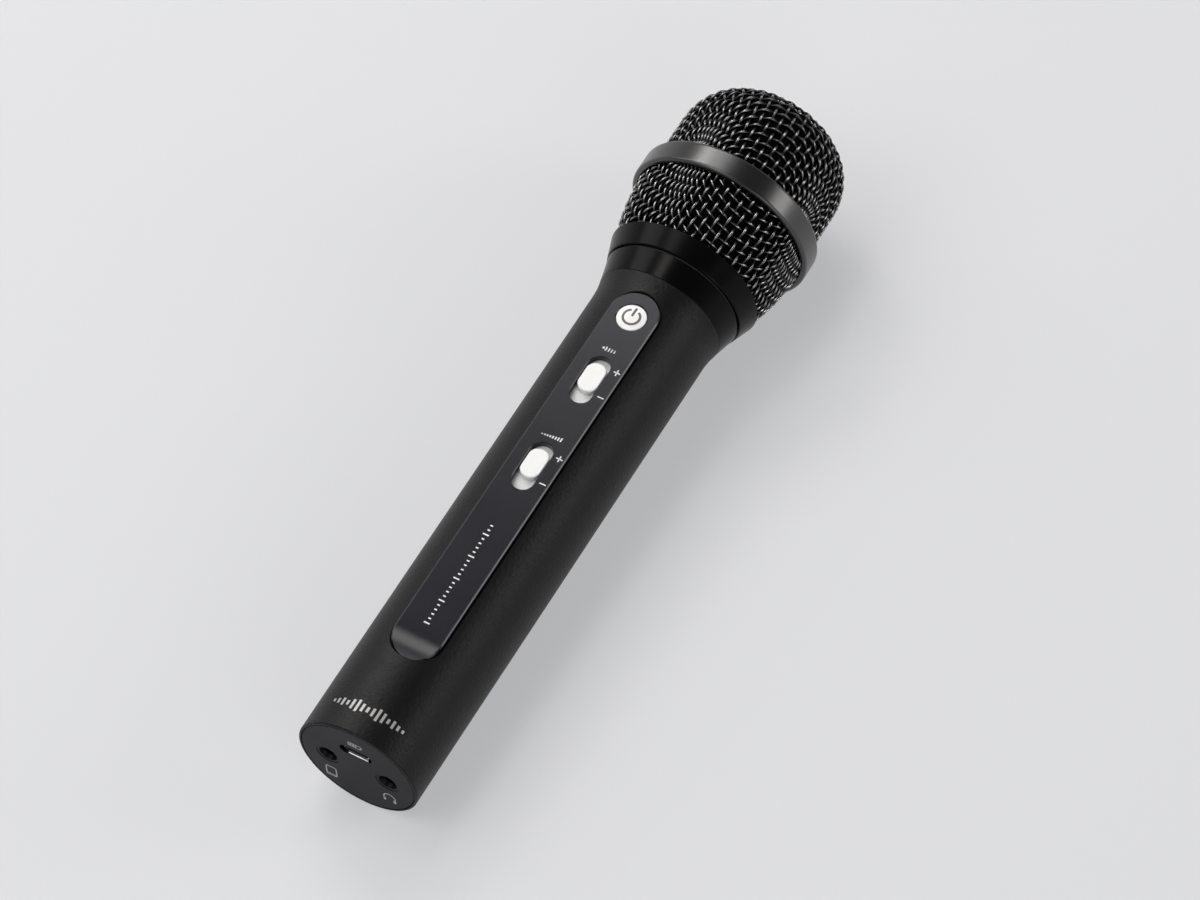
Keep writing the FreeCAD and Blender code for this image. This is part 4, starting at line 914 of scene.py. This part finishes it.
class MIC_OT_basket_cloth(bpy.types.Operator):
    """Weave the lower basket's wire cloth"""
    bl_idname = "mic.basket_cloth"
    bl_label = "Basket cloth"

    def execute(self, context):
        cloth = context.scene.mic_cloth
        low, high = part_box("lower_grille")
        form = Form(cup_profile(cloth, cloth.depth))
        near = form.distance_at(low.x) + cloth.basket_rim
        far = form.distance_at(high.x) - cloth.basket_rim
        make_cloth("basket_cloth", form, near, far, cloth.basket_turn, cloth, "lower_grille")
        return {"FINISHED"}


class MIC_OT_foam(bpy.types.Operator):
    """Make the two foam liners behind the cloth"""
    bl_idname = "mic.foam"
    bl_label = "Foam liners"

    BASKET_INSET = 1.75 * MM

    def execute(self, context):
        cloth, foam = context.scene.mic_cloth, context.scene.mic_foam
        low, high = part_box("dome_foam")
        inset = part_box("upper_grille")[1].z - high.z
        skin = dome_profile(cloth, inset, low.x)
        lining = dome_profile(cloth, inset + foam.thick, low.x)[::-1]
        self.line("dome_liner", resampled(skin, SKIN_STEP) + resampled(lining, LINING_STEP), foam,
                  "dome_foam")
        low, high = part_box("basket_foam")
        wall = [(x, r) for x, r in basket_profile(cloth, self.BASKET_INSET) if low.x < x < high.x]
        outer = resampled([(low.x, wall[0][1])] + wall + [(high.x, wall[-1][1])], SKIN_STEP)
        inner = [(x, r - foam.thick + foam.slack) for x, r in outer[::-1]]
        self.line("basket_liner", outer + inner, foam, "basket_foam")
        return {"FINISHED"}

    @staticmethod
    def line(name, loop, foam, node):
        """Make one liner from its closed loop."""
        liner = new_object(name, turned_mesh(name, loop, foam_dent(foam)))
        finished(liner, "foam", "head", node)


class MIC_OT_panel_marks(bpy.types.Operator):
    """Print the signs and the long scale on the control panel"""
    bl_idname = "mic.panel_marks"
    bl_label = "Panel marks"

    ARM = 0.95 * MM
    # shifts from the middle of a slider: towards the head, then to the side
    PLUS, MINUS, ASIDE = 5.0 * MM, -3.7 * MM, -5.25 * MM
    AHEAD = {"echo": 10.35 * MM, "volume": 10.3 * MM}
    SCALE_MIDDLE, TICK_WIDTH = 53.55 * MM, 0.4 * MM
    TICK, LONG_TICK, LONG_EVERY = 0.75 * MM, 1.7 * MM, 5

    def execute(self, context):
        marks = context.scene.mic_marks
        across, upright = [(-self.ARM, 0), (self.ARM, 0)], [(0, -self.ARM), (0, self.ARM)]
        for control, sign in (("echo", self.waves(marks)), ("volume", self.wedge())):
            low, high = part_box(f"{control}_pot_cover")
            x = (low.x + high.x) / 2
            for name, shift, strokes in (("plus", self.PLUS, (across, upright)),
                                         ("minus", self.MINUS, (across,))):
                sheet = Sheet()
                for path in strokes:
                    sheet.stroke(path, marks.stroke)
                sheet.printed(f"{control}_{name}_sign", marks, on_panel(x + shift, self.ASIDE),
                              "white_ink")
            sign.printed(f"{control}_sign", marks, on_panel(x + self.AHEAD[control]), "white_ink")
        talls = [self.TICK if n % self.LONG_EVERY else self.LONG_TICK for n in range(marks.ticks)]
        print_bars("level_scale", talls, marks.tick_step, self.TICK_WIDTH, marks, "white_ink",
                   along_panel(self.SCALE_MIDDLE))
        return {"FINISHED"}

    @staticmethod
    def waves(marks):
        """A dot with four waves that grow fainter, for echo."""
        sheet, dot = Sheet(), (-1.75 * MM, 0)
        sheet.polygon(ring_points(dot, 0.33 * MM, 0, 342, 20))
        for n, reach in enumerate((0.85, 1.65, 2.45, 3.25)):
            half = math.degrees(math.asin((0.62 - 0.04 * n) / reach))
            sheet.stroke(ring_points(dot, reach * MM, -half, half, 9),
                         marks.stroke * (1 - 0.12 * n))
        return sheet

    @staticmethod
    def wedge():
        """Eight bars that grow taller, for volume."""
        sheet, foot, wide = Sheet(), -0.6 * MM, 0.4 * MM
        for n in range(8):
            left, tall = (-2.9 + 0.78 * n) * MM, (0.25 + 0.14 * n) * MM
            sheet.polygon(rectangle(left, foot, left + wide, foot + tall))
        return sheet


def print_bars(name, talls, step, width, marks, ink, where):
    """Print a centred row of bars; where() puts (right, up, out) on the object."""
    half = (len(talls) - 1) / 2
    start = mesh_of(name + "_spots", [((n - half) * step, 0.0, 0.0) for n in range(len(talls))])
    start.attributes.new("tall", "FLOAT", "POINT").data.foreach_set("value", talls)
    bars = grown(name, start, bar_tree(), {
        "Bar width": width, "Bar thickness": marks.proud + marks.sunk, "Finish": finish_for(ink)})
    for vertex in bars.data.vertices:
        vertex.co = where(*vertex.co)
    bars.data.update()
    return finished(bars, ink, "handle", smooth=False)


class MIC_OT_button_mark(bpy.types.Operator):
    """Print the power sign on the button"""
    bl_idname = "mic.button_mark"
    bl_label = "Power sign"

    RADIUS, GAP_FROM, GAP_TO = 2.3 * MM, 118, 422
    BAR = (0.2, 1.0, 1.8, 2.6, 3.1)

    def execute(self, context):
        marks = context.scene.mic_marks
        sheet = Sheet()
        sheet.stroke(ring_points((0, 0), self.RADIUS, self.GAP_FROM, self.GAP_TO, 41), marks.bold)
        sheet.stroke([(0, y * MM) for y in self.BAR], marks.bold)
        sheet.printed("power_sign", marks, on_button(), "grey_ink", "power")
        return {"FINISHED"}


class MIC_OT_barrel_bars(bpy.types.Operator):
    """Print a row of plain bars round the barrel's tail"""
    bl_idname = "mic.barrel_bars"
    bl_label = "Barrel bars"

    TALLS = (0.9, 1.5, 2.3, 1.4, 2.9, 3.7, 2.4, 1.6, 2.4, 3.7, 2.9, 1.4, 2.3, 1.5, 0.9)

    MIDDLE, BARREL_RADIUS, WIDTH = 7.75 * MM, 17.6 * MM, 0.72 * MM

    def execute(self, context):
        marks = context.scene.mic_marks
        print_bars("barrel_bars", [t * MM for t in self.TALLS], marks.emblem_step, self.WIDTH,
                   marks, "silver_ink", on_barrel(self.MIDDLE, self.BARREL_RADIUS))
        return {"FINISHED"}


class MIC_OT_tail_marks(bpy.types.Operator):
    """Print the socket signs on the tail plate"""
    bl_idname = "mic.tail_marks"
    bl_label = "Tail marks"

    PHONE, HEADPHONE, CHARGE = (8.6 * MM, -8.8 * MM), (-8.8 * MM, -8.3 * MM), (0.0, 11.2 * MM)

    def execute(self, context):
        marks = context.scene.mic_marks
        line = marks.stroke
        phone = Sheet()
        phone.stroke(rounded_rectangle((0, 0), 3.0 * MM, 4.3 * MM, 0.5 * MM), line, closed=True)
        phone.stroke([(-1.2 * MM, -1.5 * MM), (1.2 * MM, -1.5 * MM)], line * 0.8)
        phone.printed("phone_sign", marks, on_tail(*self.PHONE), "silver_ink")
        ears = Sheet()
        ears.stroke(ring_points((0, 0), 1.7 * MM, -25, 205, 25), line)
        for side in (-1, 1):
            pad = rounded_rectangle((side * 1.5 * MM, -1.15 * MM), 0.8 * MM, 1.5 * MM, 0.3 * MM)
            ears.polygon(pad)
        ears.printed("headphone_sign", marks, on_tail(*self.HEADPHONE), "silver_ink")
        charge = Sheet()
        charge.stroke(rounded_rectangle((0, 0), 3.6 * MM, 1.5 * MM, 0.25 * MM), line * 0.7,
                      closed=True)
        charge.polygon(rectangle(1.95 * MM, -0.35 * MM, 2.25 * MM, 0.35 * MM))
        for n in range(3):
            left = (-1.35 + 0.75 * n) * MM
            charge.polygon(rectangle(left, -0.42 * MM, left + 0.5 * MM, 0.42 * MM))
        charge.printed("charge_sign", marks, on_tail(*self.CHARGE), "silver_ink")
        return {"FINISHED"}


class MIC_OT_port_lip(bpy.types.Operator):
    """Make the bright lip of the charging port's shell"""
    bl_idname = "mic.port_lip"
    bl_label = "Port lip"

    WIDE, TALL, CORNER, BEVEL = 6.0 * MM, 0.6 * MM, 0.26 * MM, 0.1 * MM
    FRONT, ASIDE, BELOW = 0.1 * MM, -0.7 * MM, 0.03 * MM

    def execute(self, context):
        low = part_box("usb_shell")[0]
        points, count = [], 0
        for x, inset in ((self.FRONT, self.BEVEL), (self.FRONT + self.BEVEL, 0.0), (low.x, 0.0)):
            outline = rounded_rectangle(
                (self.ASIDE, low.z - self.BELOW), self.WIDE - 2 * inset, self.TALL - 2 * inset,
                self.CORNER - inset, 4)
            count = len(outline)
            points += [(x, y, z) for y, z in outline]
        faces = [tuple(range(count)), tuple(range(3 * count - 1, 2 * count - 1, -1))]
        for ring in (0, count):
            for n in range(count):
                after = (n + 1) % count
                faces.append((ring + after, ring + n, ring + n + count, ring + after + count))
        lip = new_object("port_lip", mesh_of("port_lip", points, faces))
        finished(lip, "steel", "handle")
        return {"FINISHED"}


class MIC_OT_stage(bpy.types.Operator):
    """Make the floor, the lights, the world and the camera"""
    bl_idname = "mic.stage"
    bl_label = "Stage"

    LENS, SENSOR, NEAREST, FARTHEST = 180.0, 36.0, 0.05, 30.0
    FLOOR_REACH = 3.0
    WALLS, CEILING = (0.12, (0.74, 0.745, 0.76, 1)), (0.42, (0.09, 0.092, 0.097, 1))
    SPOT = Vector((-0.5957, -0.4777, 1.3291))
    AHEAD = Vector((0.448875, 0.298288, -0.842339))
    RIGHT = Vector((0.494679, -0.867974, -0.043756))
    # direction from the middle, distance, width and height, power, tint
    LAMPS = {
        "back": ((0.449, 0.568, 0.689), 1.3, (0.38, 0.38), 4.6, (1.0, 0.975, 0.95)),
        "key": ((0.1, 0.8, 0.59), 1.4, (0.7, 0.7), 4.0, (1.0, 0.985, 0.97)),
        "crown": ((0.62, 0.28, 0.73), 1.3, (0.36, 0.36), 2.4, (1.0, 0.99, 0.98)),
        "side": ((0.449, -0.806, 0.384), 1.3, (0.42, 0.42), 3.6, (1.0, 0.97, 0.94)),
        "front": ((-0.45, 0.38, 0.81), 1.6, (1.1, 1.1), 10.5, (1.0, 0.995, 0.99)),
        "top": ((0.1, 0.3, 0.95), 1.3, (0.28, 0.28), 1.6, (1.0, 0.97, 0.92)),
        "fill": ((-0.55, -0.7, 0.45), 1.5, (1.2, 0.9), 5.5, (0.99, 0.995, 1.0)),
    }

    def execute(self, context):
        scene = context.scene
        scene.view_settings.view_transform = "Standard"
        ahead, right = self.AHEAD.normalized(), self.RIGHT.normalized()
        up = right.cross(ahead).normalized()
        view = Matrix((right, up, -ahead)).transposed().to_4x4()
        view.translation = self.SPOT
        camera = bpy.data.objects.new("camera", bpy.data.cameras.new("camera"))
        camera.data.lens, camera.data.sensor_width = self.LENS, self.SENSOR
        camera.data.clip_start, camera.data.clip_end = self.NEAREST, self.FARTHEST
        camera.matrix_world = view
        scene.collection.objects.link(camera)
        scene.camera = camera
        centre = (CAD_BOX[0] + CAD_BOX[1]) / 2
        for name, (way, distance, size, power, tint) in self.LAMPS.items():
            lamp = bpy.data.lights.new(name, "AREA")
            lamp.shape, lamp.size, lamp.size_y = "RECTANGLE", size[0], size[1]
            lamp.energy, lamp.color = power, tint
            item = bpy.data.objects.new(name, lamp)
            towards = Vector(way).normalized()
            item.matrix_world = Matrix.Translation(centre + towards * distance) @ \
                towards.to_track_quat("Z", "Y").to_matrix().to_4x4()
            scene.collection.objects.link(item)
        self.make_world(scene)
        self.make_floor(scene.mic_colours)
        return {"FINISHED"}

    def make_world(self, scene):
        """A room whose walls are pale near the floor and whose ceiling is dim."""
        world = bpy.data.worlds.new("pale_room")
        world.use_nodes = True
        tree = world.node_tree
        tree.nodes.clear()
        way = add_node(tree, "ShaderNodeTexCoord").outputs["Generated"]
        height = add_node(tree, "ShaderNodeSeparateXYZ", inputs={0: way}).outputs["Z"]
        ramp = add_node(tree, "ShaderNodeValToRGB", inputs={0: height})
        for stop, (place, tone) in zip(ramp.color_ramp.elements, (self.WALLS, self.CEILING)):
            stop.position, stop.color = place, tone
        room = add_node(tree, "ShaderNodeBackground", inputs={"Color": ramp.outputs["Color"]})
        add_node(tree, "ShaderNodeOutputWorld", inputs={"Surface": room.outputs[0]})
        scene.world = world

    def make_floor(self, colours):
        """A wide floor under the tail's rim and the band, on which the microphone rests."""
        tail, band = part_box("barrel")[0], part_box("grille_band")
        z0 = tail.z
        slope = (band[0].z - z0) / ((band[0].x + band[1].x) / 2)
        far = self.FLOOR_REACH
        points = [(x, y, z0 + slope * x) for x, y in ((-far, -far), (far, -far), (far, far),
                                                      (-far, far))]
        floor = new_object("floor", mesh_of("floor", points, [(0, 1, 2, 3)]))
        floor.data.materials.append(studio_floor("pale_floor", tuple(colours.floor)))


class MIC_PT_panel(bpy.types.Panel):
    """The microphone's pieces, in the order in which they are made"""
    bl_idname = "MIC_PT_panel"
    bl_label = "Microphone"
    bl_space_type = "VIEW_3D"
    bl_region_type = "UI"
    bl_category = "Microphone"

    def draw(self, context):
        for maker in MAKERS:
            self.layout.operator(maker.bl_idname)
        for group in (context.scene.mic_cloth, context.scene.mic_foam, context.scene.mic_marks,
                      context.scene.mic_colours):
            box = self.layout.box()
            for key in group.__annotations__:
                box.prop(group, key)


GROUPS = {"mic_cloth": ClothSizes, "mic_foam": FoamSizes, "mic_marks": MarkSizes,
          "mic_colours": Colours}
MAKERS = (MIC_OT_stage, MIC_OT_finishes, MIC_OT_dome_cloth, MIC_OT_basket_cloth, MIC_OT_foam,
          MIC_OT_panel_marks, MIC_OT_button_mark, MIC_OT_barrel_bars, MIC_OT_tail_marks,
          MIC_OT_port_lip)


def register():
    for kind in (*GROUPS.values(), *MAKERS, MIC_PT_panel):
        bpy.utils.register_class(kind)
    for key, kind in GROUPS.items():
        setattr(bpy.types.Scene, key, PointerProperty(type=kind))


def unregister():
    for key in GROUPS:
        delattr(bpy.types.Scene, key)
    for kind in (MIC_PT_panel, *reversed(MAKERS), *GROUPS.values()):
        bpy.utils.unregister_class(kind)


def main():
    """Register the add-on, then make every piece."""
    register()
    for maker in MAKERS:
        group, name = maker.bl_idname.split(".")
        getattr(getattr(bpy.ops, group), name)()


if __name__ == "__main__":
    main()
